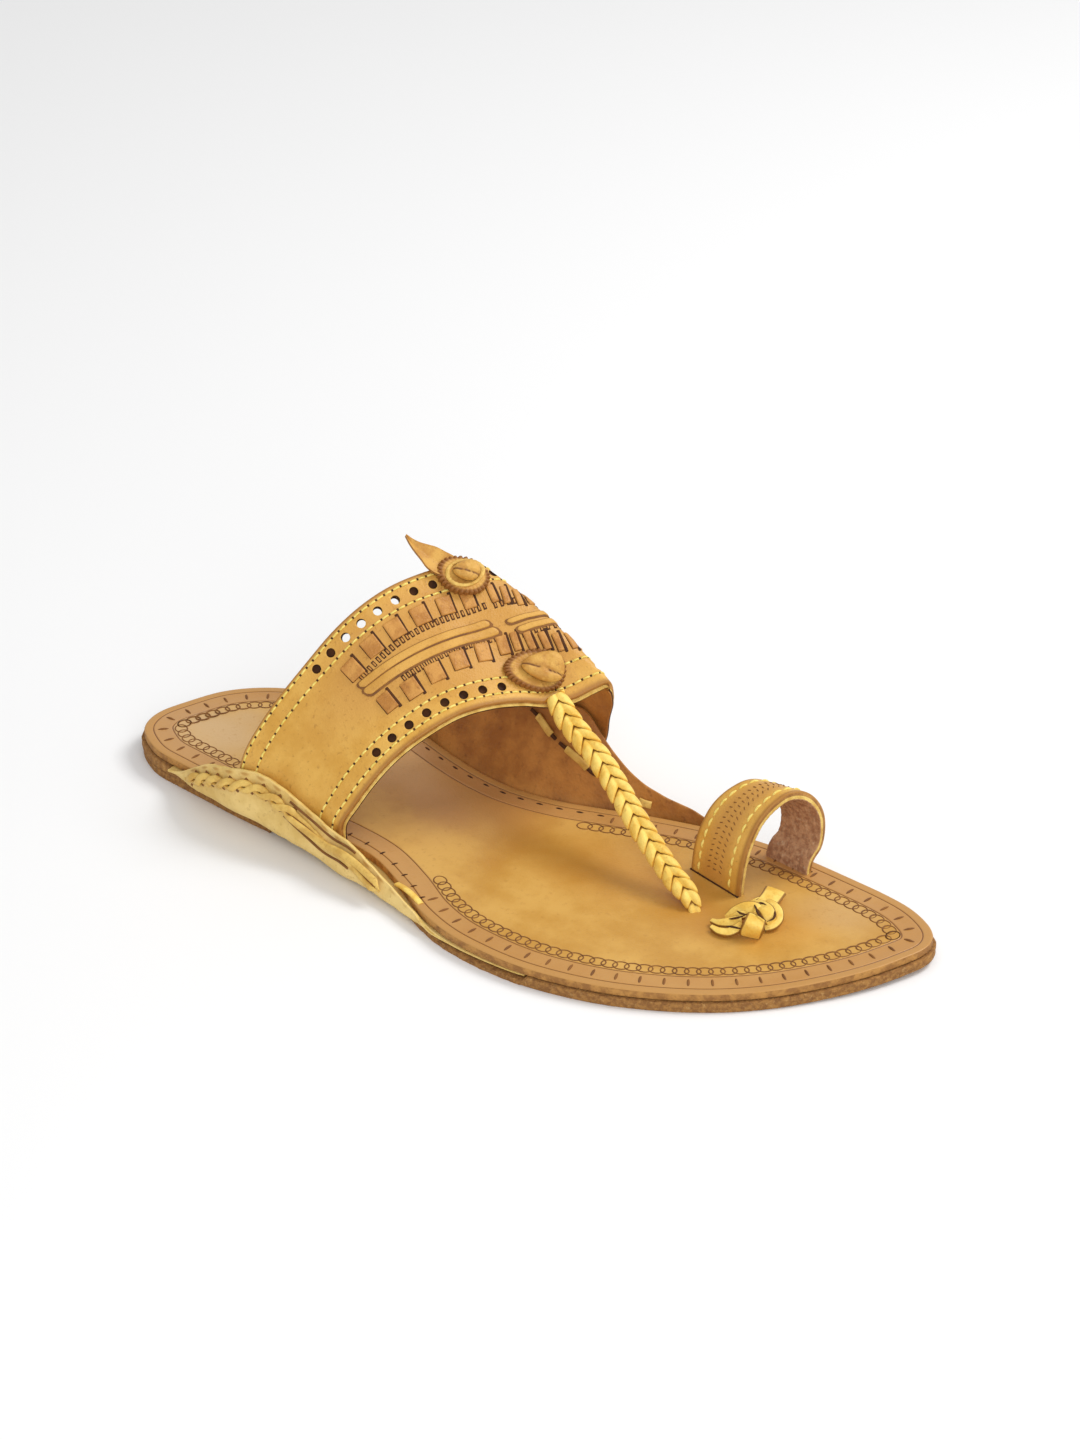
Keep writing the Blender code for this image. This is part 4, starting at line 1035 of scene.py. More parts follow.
def placing_tree(name, sizes, shape, along_line):
    """Tree that sets a shape at points of a guide. Sizes are (name, value); shape draws it"""
    inputs = [("Geometry", GEOMETRY, None)]
    inputs += [(label, OBJECT if value is None else FLOAT, value) for label, value in sizes]
    inputs += [("Material", MATERIAL, None)]
    tree, given, result = new_group(name, "GeometryNodeTree", inputs, [("Geometry", GEOMETRY)])
    if along_line:
        line = node_with(tree, "GeometryNodeMeshToCurve", {"Mesh": given["Geometry"]}).outputs["Curve"]
        spread = {"Curve": line, "Length": given["Pitch"]}
        places = node_with(tree, "GeometryNodeResampleCurve", spread, mode="LENGTH").outputs["Curve"]
    else:
        places = node_with(tree, "GeometryNodeMeshToPoints", {"Mesh": given["Geometry"]}).outputs["Points"]
    axes = {0: vector_attribute(tree, "facing"), 1: vector_attribute(tree, "heading")}
    turn = node_with(tree, "FunctionNodeAxesToRotation", axes, primary_axis="Z", secondary_axis="X")
    inputs = {
        "Points": places,
        "Instance": shape(tree, given),
        "Rotation": turn.outputs["Rotation"],
        "Scale": vector_attribute(tree, "grow"),
    }
    copies = node_with(tree, "GeometryNodeInstanceOnPoints", inputs).outputs["Instances"]
    real = node_with(tree, "GeometryNodeRealizeInstances", {"Geometry": copies}).outputs["Geometry"]
    painted = node_with(tree, "GeometryNodeSetMaterial", {"Geometry": real, "Material": given["Material"]})
    tree.links.new(painted.outputs["Geometry"], result["Geometry"])
    return tree


STITCH_SIZES = [("Pitch", 0.0031), ("Stitch Length", 0.0024), ("Thread Width", 0.0006)]
LINK_SIZES = [("Pitch", 0.0043), ("Link Length", 0.0052), ("Link Width", 0.0056), ("Line Width", 0.0004)]
sewing = placing_tree("sewing", STITCH_SIZES, stitch_shape, True)
chain_stamp = placing_tree("chain stamp", LINK_SIZES, link_shape, True)
laying = placing_tree("laying", [("Piece", None)], ready_shape, False)
print("trees:", sewing.name, chain_stamp.name, laying.name)


# %% Running a tree
def plain_mesh(made):
    """What an object's modifiers make, as a mesh of its own; the modifiers are then removed"""
    ready = bpy.context.evaluated_depsgraph_get()
    mesh = bpy.data.meshes.new_from_object(made.evaluated_get(ready), depsgraph=ready)
    made.modifiers.clear()
    return mesh


def grown(name, lines, tree, inputs):
    """Runs a tree on guide lines and keeps the result as a plain mesh"""
    guide_object = guide(lines)
    modifier = guide_object.modifiers.new("growing", "NODES")
    modifier.node_group = tree
    for item in tree.interface.items_tree:
        if item.item_type == "SOCKET" and item.in_out == "INPUT" and item.name in inputs:
            modifier[item.identifier] = inputs[item.name]
    mesh = plain_mesh(guide_object)
    mesh.name = name
    mesh.polygons.foreach_set("use_smooth", np.ones(len(mesh.polygons), bool))
    bpy.data.objects.remove(guide_object)
    print(name, "has", len(mesh.polygons), "faces")
    return placed(name, mesh)


def sewn(name, lines, pitch, length, width, material):
    """A row of stitches along each line"""
    sizes = {"Pitch": pitch, "Stitch Length": length, "Thread Width": width, "Material": material}
    return grown(name, lines, sewing, sizes)


# %% Marks on the insole: radial stitches, the stamped chain and short stitches at the waist
def rim_line(inset, low, high, outer_side):
    """Line on the insole at an inset in mm from its edge, between two places along the sole"""
    outline = ring_of(1, SOLE_SIDES)
    ring = inset_ring(outline, INSOLE_INSET + inset * MM)
    part = ring[: SOLE_SIDES + 1] if outer_side else np.vstack([ring[:1], ring[: SOLE_SIDES - 1 : -1]])
    part = part[(part[:, 1] >= low) & (part[:, 1] <= high)]
    clear = np.array([np.linalg.norm(outline - place, axis=1).min() for place in part])
    return part[clear > (inset - 0.25) * MM]


def lying(points, lift, across):
    """Guide line on the insole's upper face; its pieces head across the line or along it"""
    flat = over_insole(points, lift)
    along = headings(flat)
    up = np.tile([0.0, 0.0, 1.0], (len(flat), 1))
    return flat, up, np.cross(up, along) if across else along


TOE_Y, HEEL_Y = 0.145, -0.145
# Where each row starts and ends along the sole, and whether it is on the outer side
STITCHED = [(0.000, TOE_Y, True), (0.020, TOE_Y, False), (HEEL_Y, -0.075, True), (HEEL_Y, -0.060, False)]
CHAINED = [(-0.004, TOE_Y, True), (0.014, TOE_Y, False), (HEEL_Y, -0.085, True), (HEEL_Y, -0.070, False)]
stitch_lines = [lying(rim_line(6.3, *row), -0.00022, True) for row in STITCHED]
rim_stitches = sewn("rim_stitches", stitch_lines, 0.0070, 0.0050, 0.00085, stamp_and_shade_dark)
chain_lines = [lying(rim_line(12.2, *row), -0.00006, False) for row in CHAINED]
stamped_chain = grown(
    "stamped_chain", chain_lines, chain_stamp,
    {
        "Pitch": 0.0036, "Link Length": 0.0050, "Link Width": 0.0040, "Line Width": 0.00052,
        "Material": stamp_and_shade_dark,
    },
)
waist_lines = [
    lying(rim_line(4.6, -0.060, 0.016, False), -0.00020, False),
    lying(rim_line(3.4, -0.050, -0.002, True), -0.00020, True),
]
waist_stitches = sewn("waist_stitches", waist_lines, 0.0065, 0.0032, 0.0007, shade_and_stitch_dark)

# %% [markdown]
# ## The instep band
#
# The band is two layers of hide sewn together along both edges: a golden cover with the
# tooling, and a brown lining whose pale cut edge shows along the front. Both are sheets over
# the same ruled surface. The cover's face sinks a little under each row of stitches, which
# is what makes sewn leather look sewn. The holes are punched after that.

# %% Cover and lining
COVER_THICK = 0.0015
COVER_FRONT = 0.981
BAND_ACROSS = 0.052
STITCH_ROWS = [0.030, 0.148, 0.785, 0.905]
across_cover = crowded(BAND_ACROSS * COVER_FRONT, 0.00014, 0.0008) * COVER_FRONT
for row in STITCH_ROWS:
    across_cover = np.union1d(across_cover, row + np.array([-0.012, -0.006, 0, 0.006, 0.012]))
grid_s, grid_w = np.meshgrid(np.linspace(0, 1, 330), across_cover, indexing="ij")
relief = -rounded(np.minimum(grid_w, COVER_FRONT - grid_w) * BAND_ACROSS, 0.0006)
for row in STITCH_ROWS:
    relief = relief - 0.00016 * bump(grid_w, row, 0.010)
relief = relief + 0.00020 * bump(grid_w, 0.443, 0.10) * bump(grid_s, 0.5, 0.25)
relief = relief + 0.00007 * (np.sin(grid_s * 61 + 3 * grid_w) * np.sin(grid_w * 23 + 9 * grid_s))
panel = bump(grid_s, 0.54, 0.27) ** 0.7 * bump(grid_w, 0.45, 0.42)
worn = bump(grid_w, 0, 0.02) + bump(grid_w, COVER_FRONT, 0.035) + bump(grid_s, 0, 0.03)
cover = shell(
    "band_cover", band_point(grid_s, grid_w, relief), band_point(grid_s, grid_w, -COVER_THICK),
    [band_face, band_flesh, brown_edge],
    {"panel": np.clip(panel * 1.3, 0, 1), "worn": np.clip(worn, 0, 1)}, 60,
)
across_lining = crowded(BAND_ACROSS, 0.00018, 0.0016)
grid_s, grid_w = np.meshgrid(np.linspace(0, 1, 200), across_lining, indexing="ij")
drop = rounded(np.minimum(grid_w, 1 - grid_w) * BAND_ACROSS, 0.0003)
wave = 0.00006 * np.sin(grid_s * 140) * np.sin(grid_w * 31 + 5 * grid_s)
lining = shell(
    "band_lining", band_point(grid_s, grid_w, -COVER_THICK - 0.00003 - drop),
    band_point(grid_s, grid_w, -BAND_WALL + drop + wave), [cut_edge, band_flesh, cut_edge], None, 60,
)
print("cover and lining:", len(cover.data.polygons), len(lining.data.polygons), "faces")

# %% Punch the two rows of holes
HOLE_WIDTH = 0.0030
REAR_W, FRONT_W = 0.09, 0.855
REAR_HOLES = [0.308 + k * 0.0074 / band_length(REAR_W) for k in range(13)]
FRONT_HOLES = [0.216 + k * 0.0066 / band_length(FRONT_W) for k in range(15)]
REAR_HOLES = [s for s in REAR_HOLES if not 0.585 < s < 0.685]
FRONT_HOLES = [s for s in FRONT_HOLES if not 0.535 < s < 0.675]
THROUGH = REAR_HOLES[2:6]


def round_bars(places, w, width, lifts, sides):
    """Short round bars that stand across the band's wall, from the first lift to the last"""
    made = []
    for s in places:
        first, second, normal = band_frame(s, w)[:3]
        turns = full_turn(sides)[:, None]
        circle = np.cos(turns) * first + np.sin(turns) * second
        made.append(tube_mesh([band_point(s, w) + circle * width / 2 + normal * lift for lift in lifts]))
    return made


def punches(places, w, deep):
    return round_bars(places, w, HOLE_WIDTH, (-deep, -deep / 2, 0.002), 28)


def punched(target, meshes):
    """Cuts closed meshes out of a piece; the cut takes the dark material as painted shade in the holes"""
    tool = many("punch", meshes, shade_and_stitch_dark)
    target.data.materials.append(shade_and_stitch_dark)
    step = target.modifiers.new("punch", "BOOLEAN")
    step.operation = "DIFFERENCE"
    step.solver = "EXACT"
    step.material_mode = "TRANSFER"
    step.object = tool
    target.data = plain_mesh(target)
    bpy.data.objects.remove(tool)
    print(target.name, "has", len(target.data.polygons), "faces after punching")


punched(cover, punches(REAR_HOLES, REAR_W, 0.0022) + punches(FRONT_HOLES, FRONT_W, 0.0022))
punched(lining, punches(THROUGH, REAR_W, 0.0045))
blind = [s for s in REAR_HOLES if s not in THROUGH]
# Dark floors of painted shade in the holes that stop at the lining
FLOOR_LIFTS = (-COVER_THICK - 0.0001, -COVER_THICK + 0.0003)
floors = round_bars(FRONT_HOLES, FRONT_W, 1.04 * HOLE_WIDTH, FLOOR_LIFTS, 20)
floors += round_bars(blind, REAR_W, 1.04 * HOLE_WIDTH, FLOOR_LIFTS, 20)
hole_floors = many("hole_floors", floors, shade_and_stitch_dark)
for part in (cover, lining, hole_floors):
    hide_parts("band")

# %% [markdown]
# ## Welts, woven tabs and punched teeth
#
# Two raised welts run over the band's middle, each a cord under a narrow strip of hide. Rows
# of short tabs beside them are strips that dive through slits in the cover. Each is a grid
# of points laid on the band's face, so it follows the arch. A thin dark plate, a little
# larger and lower, lies under each: painted shadow that draws a dark line along its edge.
# The slits are dark strips of painted shade. The fine teeth of the punch are one small block,
# which a tree lays along the welts over a larger dark block of painted shade.

# %% Flat bars for the welts
def bar_grids(start, end, w_keys, width, height, low, count=90, columns_across=11):
    """Upper and lower grid of a long flat bar with round corners that follows the band;
    w_keys places its middle line at the start, halfway and at the end"""
    share = np.linspace(0, 1, count)
    s = start + (end - start) * share
    w = w_keys[0] * (1 - share) * (1 - 2 * share) + 4 * w_keys[1] * share * (1 - share)
    w = w + w_keys[2] * share * (2 * share - 1)
    run = share * np.linalg.norm(band_point(end, w_keys[2]) - band_point(start, w_keys[0]))
    corner = np.clip(1 - np.minimum(run, run[-1] - run) / 0.0013, 0, 1)
    half = width / 2 - 0.0012 * (1 - np.sqrt(1 - corner**2 * 0.98))
    across = np.sin(np.linspace(-math.pi / 2, math.pi / 2, columns_across))
    band_over = np.linalg.norm(band_point(s, 0.999) - band_point(s, 0.001), axis=-1)
    crown = height * np.clip(1 - across**8, 0, 1) ** 0.5 * (0.85 + 0.15 * (1 - across**2))
    fade = np.sqrt(1 - corner**3 * 0.9)
    grid_s = np.repeat(s[:, None], columns_across, axis=1)
    grid_w = w[:, None] + half[:, None] * across[None, :] / band_over[:, None]
    upper = band_point(grid_s, grid_w, low + (crown[None, :] * fade[:, None]))
    return upper, band_point(grid_s, grid_w, low - 0.0004)


# Start and end over the arch, middle line's place across, and width
WELTS = [
    (0.319, 0.603, (0.404, 0.4230, 0.409), 0.0027),
    (0.313, 0.605, (0.468, 0.4880, 0.466), 0.0032),
    (0.632, 0.790, (0.437, 0.442, 0.447), 0.0018),
    (0.637, 0.790, (0.502, 0.507, 0.512), 0.0022),
]
welts, welt_shadows = [], []
for start, end, w_keys, width in WELTS:
    welts.append(shell_mesh(*bar_grids(start, end, w_keys, width, 0.00045, 0.00025)))
    # Under each welt lies a thin dark plate of painted shadow, wider and set forward of it
    lower_keys = tuple(w + 0.005 for w in w_keys)
    shadow = bar_grids(start - 0.004, end + 0.004, lower_keys, width + 0.0009, 0.00010, 0.00028)
    welt_shadows.append(shell_mesh(*shadow))
welt_bars = many("welt_bars", welts, welt_face)
welt_seams = many("welt_seams", welt_shadows, stamp_and_shade_dark)
print(len(welts), "welts")

# %% Woven tabs: a strip that passes over the band between two slits
TAB_ROWS = [
    ("s", "w", "width in mm"),
    (0.340, 0.281, 6.0), (0.398, 0.250, 6.0), (0.454, 0.244, 6.0), (0.509, 0.242, 6.0),
    (0.563, 0.236, 5.6), (0.607, 0.240, 4.6), (0.652, 0.245, 2.6), (0.670, 0.270, 2.4),
    (0.687, 0.300, 2.4), (0.707, 0.300, 3.0), (0.734, 0.290, 4.2), (0.770, 0.275, 5.2),
    (0.318, 0.620, 5.0), (0.368, 0.645, 5.8), (0.427, 0.626, 5.8), (0.486, 0.603, 5.8),
    (0.542, 0.588, 5.4), (0.590, 0.565, 4.0), (0.616, 0.562, 2.6), (0.639, 0.584, 2.6),
    (0.661, 0.615, 2.6), (0.679, 0.650, 2.4), (0.700, 0.660, 2.8), (0.728, 0.650, 4.2),
    (0.764, 0.635, 5.2),
]
TAB_DEPTH = 0.0063
TAB_EASE = 0.93
tabs, slit_shades, plates = [], [], []


def tab_mesh(place, width, depth, height):
    """Tab pulled down at its two ends, and softly rounded on its sides"""
    across, forward = crowded(width, 0.00012, 0.0007) - 0.5, crowded(depth, 0.00012, 0.0009) - 0.5
    u, v = np.meshgrid(across, forward, indexing="ij")
    ends = np.clip(0.5 - np.abs(u), 0, 0.5) * width
    sides = np.clip(0.5 - np.abs(v), 0, 0.5) * depth
    lift = height - rounded(ends, height * 0.95) * 0.95 - rounded(sides, 0.0004)
    upper, lower = (on_band(place, u * width, v * depth, rise) for rise in (lift, -0.0003))
    return shell_mesh(upper, lower)


for s, w, width in TAB_ROWS[1:]:
    width *= TAB_EASE * MM
    slit = s + (width / 2 + 0.00025) / band_length(w)
    tabs.append(tab_mesh((s, w), width, TAB_DEPTH, 0.0006))
    slit_shades.append(tab_mesh((slit, w), 0.0008, TAB_DEPTH + 0.0018, 0.00024))
    plates.append(tab_mesh((s, w + 0.004), width + 0.0006, TAB_DEPTH + 0.0001, 0.00012))
woven_tabs = many("woven_tabs", tabs, tab_face)
# Painted shade: a dark strip stands in each slit, and a dark plate under each tab, set forward of it, gives its
# shadow line
tab_slits = many("tab_slits", slit_shades, shade_and_stitch_dark)
tab_shadows = many("tab_shadows", plates, shade_and_stitch_dark)
print(len(tabs), "tabs")

# %% Fine punched teeth along the welts
# A block one unit wide whose upper rim is let down after the creases are set, so it shades
# as a soft cushion
TOOTH_STEPS = (-0.5, -0.4, 0.4, 0.5)
upper, lower = (np.array([[(x, y, z) for y in TOOTH_STEPS] for x in TOOTH_STEPS]) for z in (0.5, -0.5))
tooth_source = shell("tooth", upper, lower, [shade_and_stitch_dark])
for vertex in tooth_source.data.vertices:
    if vertex.co.z > 0 and max(abs(vertex.co.x), abs(vertex.co.y)) > 0.45:
        vertex.co.z = 0.2
TEETH_ROWS = [
    ("w start", "w end", "start", "end"),
    (0.366, 0.332, 0.335, 0.430),
    (0.331, 0.306, 0.433, 0.622),
    (0.556, 0.508, 0.378, 0.600),
    (0.318, 0.345, 0.640, 0.790),
    (0.532, 0.552, 0.640, 0.790),
]
TEETH_PITCH = 0.00185


def laid(name, lines, material):
    return grown(name, lines, laying, {"Piece": tooth_source, "Material": material})


def teeth_lines(lift, grow):
    lines = []
    for w_start, w_end, start, end in TEETH_ROWS[1:]:
        count = int((end - start) * band_length(0.4) / TEETH_PITCH)
        s, w = np.linspace(start, end, count), np.linspace(w_start, w_end, count)
        points = band_point(s, w, lift)
        lines.append((points, band_normal(s, w), headings(points), [grow] * count))
    return lines


# A larger dark block under each tooth face is painted shade in the punched dent
tooth_slots = laid("tooth_slots", teeth_lines(0.00002, (0.0012, 0.0024, 0.0003)), shade_and_stitch_dark)
tooth_faces = laid("tooth_faces", teeth_lines(0.00010, (0.0005, 0.0014, 0.0004)), tab_face)

# %% Stitches along both edges of the band, and painted shade at their needle holes
STITCH_PITCH = 0.0031
NEEDLE_HOLE = (0.00065, 0.00075, 0.0003)
s = np.linspace(0.004, 0.996, 260)
rows, holes = [], []
for w in STITCH_ROWS:
    points = band_point(s, np.full(260, w), -0.00012)
    row = (points, band_normal(s, np.full(260, w)), headings(points))
    walk = run_along(points)
    count = int(walk[-1] / STITCH_PITCH)
    at = (np.arange(count) + 0.5) * walk[-1] / count
    rows.append(row)
    holes.append((*(read_off(at, walk, grid) for grid in row), [NEEDLE_HOLE] * count))
band_stitches = sewn("band_stitches", rows, STITCH_PITCH, 0.0027, 0.00072, thread)
# A small dark block at each stitch is painted shade in its needle hole
needle_holes = laid("needle_holes", holes, shade_and_stitch_dark)

# %% [markdown]
# ## Rosettes, pads and the leaf
#
# Two small rosettes cover the ends of the plait and of the leaf. Their rims are pinked with
# a toothed punch. A folded pad sits on each, the rear one in a ring of yellow thong.

# %% Pinked discs
FRONT_ROSETTE = (0.597, 0.775)
REAR_ROSETTE = (0.632, 0.096)
DISC_SHARES = np.array([0.0, 0.4, 0.7, 0.8, 0.86, 0.9, 0.94, 0.97, 1.0])


def turned(x, y, angle):
    return x * math.cos(angle) - y * math.sin(angle), x * math.sin(angle) + y * math.cos(angle)


def rosette(name, place, size, turn, thick, teeth):
    """Disc that follows the band; its rim is cut into teeth and frayed"""
    turns = full_turn(teeth * 8)
    tooth_wave = np.abs(np.sin(turns * teeth / 2))
    upper, lower = [], []
    for share in DISC_SHARES:
        pinked = 1 - 0.07 * (1 - tooth_wave) * (share > 0.93)
        x, y = (wave * half * share * pinked for wave, half in zip((np.cos(turns), np.sin(turns)), size))
        fray = np.clip((share - 0.72) / 0.2, 0, 1)
        height = thick * (1 - 0.28 * fray * (1 - tooth_wave)) - rounded((1 - share) * size[1], 0.0006)
        height = height + 0.00012 * np.sin(turns * 5 + share * 9) * share
        u, v = turned(x, y, turn)
        upper.append(on_band(place, u, v, LAYER_GAP + height))
        lower.append(on_band(place, u, v, LAYER_GAP))
    frays = np.clip((DISC_SHARES[1:] - 0.7) / 0.2, 0, 1)
    frays = np.repeat(np.r_[frays, frays[::-1]], len(turns))
    rings = np.concatenate([lower[1:], upper[:0:-1]])
    return tube(name, rings, rosette_face, {"fray": np.r_[frays, 0, 0]}, 60)


rosette_front = rosette("rosette_front_disc", FRONT_ROSETTE, (0.0107, 0.0072), math.radians(11), 0.0018, 34)
rosette_rear = rosette("rosette_rear_disc", REAR_ROSETTE, (0.0088, 0.0067), math.radians(28), 0.0024, 30)
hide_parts("rosette_front")
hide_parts("rosette_rear")
print("rosettes:", len(rosette_front.data.polygons), len(rosette_rear.data.polygons), "faces")


# %% Folded pads and the thong ring
def domed(name, place, low, length, width, turn, shares, crease):
    """Small cushion with one fold across it, darkened with painted shade along the fold and at its foot; shares
    are (how far out, how high) of each ring
    """
    turns = full_turn(56)
    rings, crease_shades = [], []
    for share, up in shares:
        u = np.cos(turns) * length / 2 * share
        v = np.sin(turns) * width / 2 * share * (1 + 0.22 * np.cos(turns))
        fold = 0.12 * width + 0.25 * u
        lift = low + up * PAD_HEIGHT - crease * bump(v, fold, 0.0006) * (up > 0.3)
        lift = lift + 0.00016 * np.sin(turns * 3 + share * 5) * up
        crease_shades.append(bump(v, fold, 0.0004) * (up > 0.3) + (up < 0.15))
        rings.append(on_band(place, *turned(u, v, turn), lift))
    return tube(name, rings, rosette_face, {"crease": np.r_[np.ravel(crease_shades), 1, 0]}, 60)


PAD_HEIGHT = 0.0030
DOME = [
    (0.92, 0.0), (0.98, 0.12), (1.0, 0.28), (0.98, 0.45), (0.93, 0.62),
    (0.84, 0.77), (0.72, 0.88), (0.55, 0.95), (0.36, 0.99), (0.15, 1.0),
]
FOLD = [(0.86, 0.0), (0.9, 0.2), (0.9, 0.5), (0.84, 0.72), (0.7, 0.86), (0.5, 0.95), (0.25, 1.0)]
pad_front = domed("pad_front_fold", (0.612, 0.770), 0.0025, 0.0150, 0.0100, 0.25, DOME, 0.0007)
pad_rear = domed("pad_rear_fold", (0.636, 0.088), 0.0031, 0.0098, 0.0074, 0.3, FOLD, 0.0006)
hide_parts("pad_front")
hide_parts("pad_rear")
RING_TURNS, RING_SIDES = 72, 10
turns = full_turn(RING_TURNS)
ring_points, ring_faces = [], []
for angle in full_turn(RING_SIDES):
    reach = 1 + 0.13 * math.cos(angle)
    lift = 0.0030 + 0.0004 * math.sin(angle) + 0.0001 * np.sin(turns * 24)
    u, v = np.cos(turns) * 0.0060 * reach, np.sin(turns) * 0.0043 * reach
    ring_points.append(on_band((0.634, 0.092), u, v, lift))
for i in range(RING_SIDES):
    for j in range(RING_TURNS):
        a, b = i * RING_TURNS + j, i * RING_TURNS + (j + 1) % RING_TURNS
        shift = ((i + 1) % RING_SIDES - i) * RING_TURNS
        ring_faces.append([a, b, b + shift, a + shift])
ring_points = np.vstack(ring_points)
thong_ring = piece("thong_ring", ring_points, facing_out(ring_points, ring_faces), [lace_face])
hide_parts("pad_rear")
print("pads and ring:", *(len(part.data.polygons) for part in (pad_front, pad_rear, thong_ring)), "faces")

# %% The leaf behind the band
LEAF = [
    ("along", "width", "lift", "sway"),
    (0.00, 0.80, 0.00, 0.00),
    (0.15, 0.95, 0.00, 0.00),
    (0.30, 1.00, 0.00, 0.00),
    (0.42, 1.00, 0.02, 0.02),
    (0.54, 0.92, 0.04, 0.02),
    (0.66, 0.66, 0.06, 0.01),
    (0.78, 0.42, 0.08, 0.00),
    (0.90, 0.22, 0.10, -0.03),
    (1.00, 0.06, 0.13, -0.07),
]
LEAF_TURN = math.radians(222)
LEAF_LENGTH, LEAF_WIDTH, LEAF_THICK = 0.0232, 0.0084, 0.0011
rows = columns(LEAF)
shares = np.linspace(0, 1, 34)[:, None]
wide, up, sway = spline(rows[:, 0], rows[:, 1:], shares[:, 0]).T[..., None]
sides = np.linspace(-1, 1, 13)
half = wide * LEAF_WIDTH / 2 * sides + sway * LEAF_LENGTH
run = np.repeat(shares * LEAF_LENGTH - 0.001, 13, axis=1)
u = run * math.sin(LEAF_TURN) + half * math.cos(LEAF_TURN)
v = run * math.cos(LEAF_TURN) - half * math.sin(LEAF_TURN)
low = LAYER_GAP + up * LEAF_LENGTH * 0.5 + 0.0009 * sides**2 * np.sin(shares * math.pi)
leaf_low = on_band(REAR_ROSETTE, u, v, low)
leaf_high = on_band(REAR_ROSETTE, u, v, low + LEAF_THICK - 0.0003 * bump(sides, 0, 0.25))
leaf = shell("leaf_tongue", leaf_high, leaf_low, [rosette_face, band_flesh, brown_edge], {"fray": 0 * run})
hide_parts("leaf")
print("leaf:", len(leaf.data.polygons), "faces")

# %% [markdown]
# ## Side flaps and their lacing
#
# Each flap is one piece of soft pale hide. It is glued between the sole's layers, folds up
# over the rim and is laced to itself around the band's foot. Its section changes slowly, so
# it is a loft; small puckers along the lace show that the hide is soft.

# %% Flaps
PUCKER_PITCH = 0.0065


def flap_sheet(name, table, side, material):
    """Sheet through a flap's sections, puckered along its top edge"""
    rows = columns(table)
    ys = np.linspace(rows[0, 0], rows[-1, 0], 240) * SOLE_LENGTH
    grid = []
    for y in ys:
        section = flap_section(rows, side, y)
        walk = run_along(section)
        fine = read_off(crowded(walk[-1], 0.00016, walk[-1] / 22) * walk[-1], walk, section)
        for _ in range(2):
            fine[1:-1] = (fine[:-2] + 2 * fine[1:-1] + fine[2:]) / 4
        grid.append(np.column_stack([side * fine[:, 0], np.full(len(fine), y), fine[:, 1]]))
    size = min(len(row) for row in grid)
    grid = [read_off(np.linspace(0, len(row) - 1, size), np.arange(len(row)), row) for row in grid]
    grid, along = np.array(grid), ys[:, None] / SOLE_LENGTH
    if side > 0:
        grid[..., 0] -= 0.0022 * np.interp(along, [-0.10, 0.02], [0, 1])
    normal = normals_of(grid)
    if normal[120, size // 2, 0] * side < 0:
        normal = -normal
    up = np.linspace(0, 1, size)[None, :]
    puckers = np.sin(ys[:, None] * 2 * math.pi / PUCKER_PITCH)
    sag = 0.00022 * np.sin(ys[:, None] * 190 + up * 5) * bump(up, 0.55, 0.3)
    tall = np.clip((grid[:, -1:, 2] - grid[:, :1, 2]) / 0.006, 0, 1)
    grid = grid + normal * ((0.00016 * puckers * bump(up, 0.86, 0.14) + sag) * tall)[..., None]
    # Painted shade in a band just under the top edge, along the lace, varying with the puckers
    crease = bump(up, 0.87, 0.05) * (0.5 + 0.5 * puckers) * tall
    thin = rounded(np.minimum(1 - up, 1) * 0.02, 0.0004)
    skived = np.interp(along, [-0.40, -0.37, 0.03, 0.06], [0.6, 1, 1, 0.5])
    wall = normal * ((FLAP_THICK / 2 - thin) * skived)[..., None]
    return shell(name, grid + wall, grid - wall, material, {"crease": crease}, 60)


flap_outer = flap_sheet("flap_outer", OUTER_FLAP, 1, [flap_face, flap_face, cut_edge])
# The inner flap takes the band's brown lining leather on both faces, and a brown cut edge
flap_inner = flap_sheet("flap_inner", INNER_FLAP, -1, [band_flesh, band_flesh, brown_edge])
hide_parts("ear_outer")
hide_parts("ear_inner")
print("flaps:", len(flap_outer.data.polygons), len(flap_inner.data.polygons), "faces")

# %% Straps, and the route of a lace along a flap
# How far the lace lies below the flap's top edge, at places along the sole
OUTER_LACE = [
    ("along", "drop"), (-0.375, 0.0030), (-0.340, 0.0048), (-0.250, 0.0052), (-0.150, 0.0050),
    (-0.055, 0.0030),
]
INNER_LACE = [
    ("along", "drop"), (-0.0700, 0.0034), (-0.0460, 0.0070), (-0.0280, 0.0112), (0.0000, 0.0150),
    (0.0180, 0.0140), (0.0420, 0.0092), (0.0700, 0.0066), (0.1000, 0.0044),
]


def lace_route(flap, lace, side, face, stand_off, count):
    """Middle of a lace along a flap, with the direction away from the leather"""
    rows, drops = columns(flap), columns(lace)
    alongs = np.linspace(drops[0, 0], drops[-1, 0], count)
    path, outs = [], []
    for y, drop in zip(alongs * SOLE_LENGTH, spline(drops[:, 0], drops[:, 1], alongs)):
        section = flap_section(rows, side, y)
        leg = section[-1] - section[-3]
        length = np.linalg.norm(leg)
        outward = np.array([leg[1], -leg[0]]) / length * face
        place = section[-1] - leg / length * min(drop, length * 0.8) + outward * (FLAP_THICK / 2 + stand_off)
        path.append((side * place[0], y, place[1]))
        outs.append((side * outward[0], 0.0, outward[1]))
    return np.array(path), np.array(outs)


def squared(wave, power):
    """Bends a sine towards a square wave, which makes an oval section boxier"""
    return np.sign(wave) * np.abs(wave) ** power


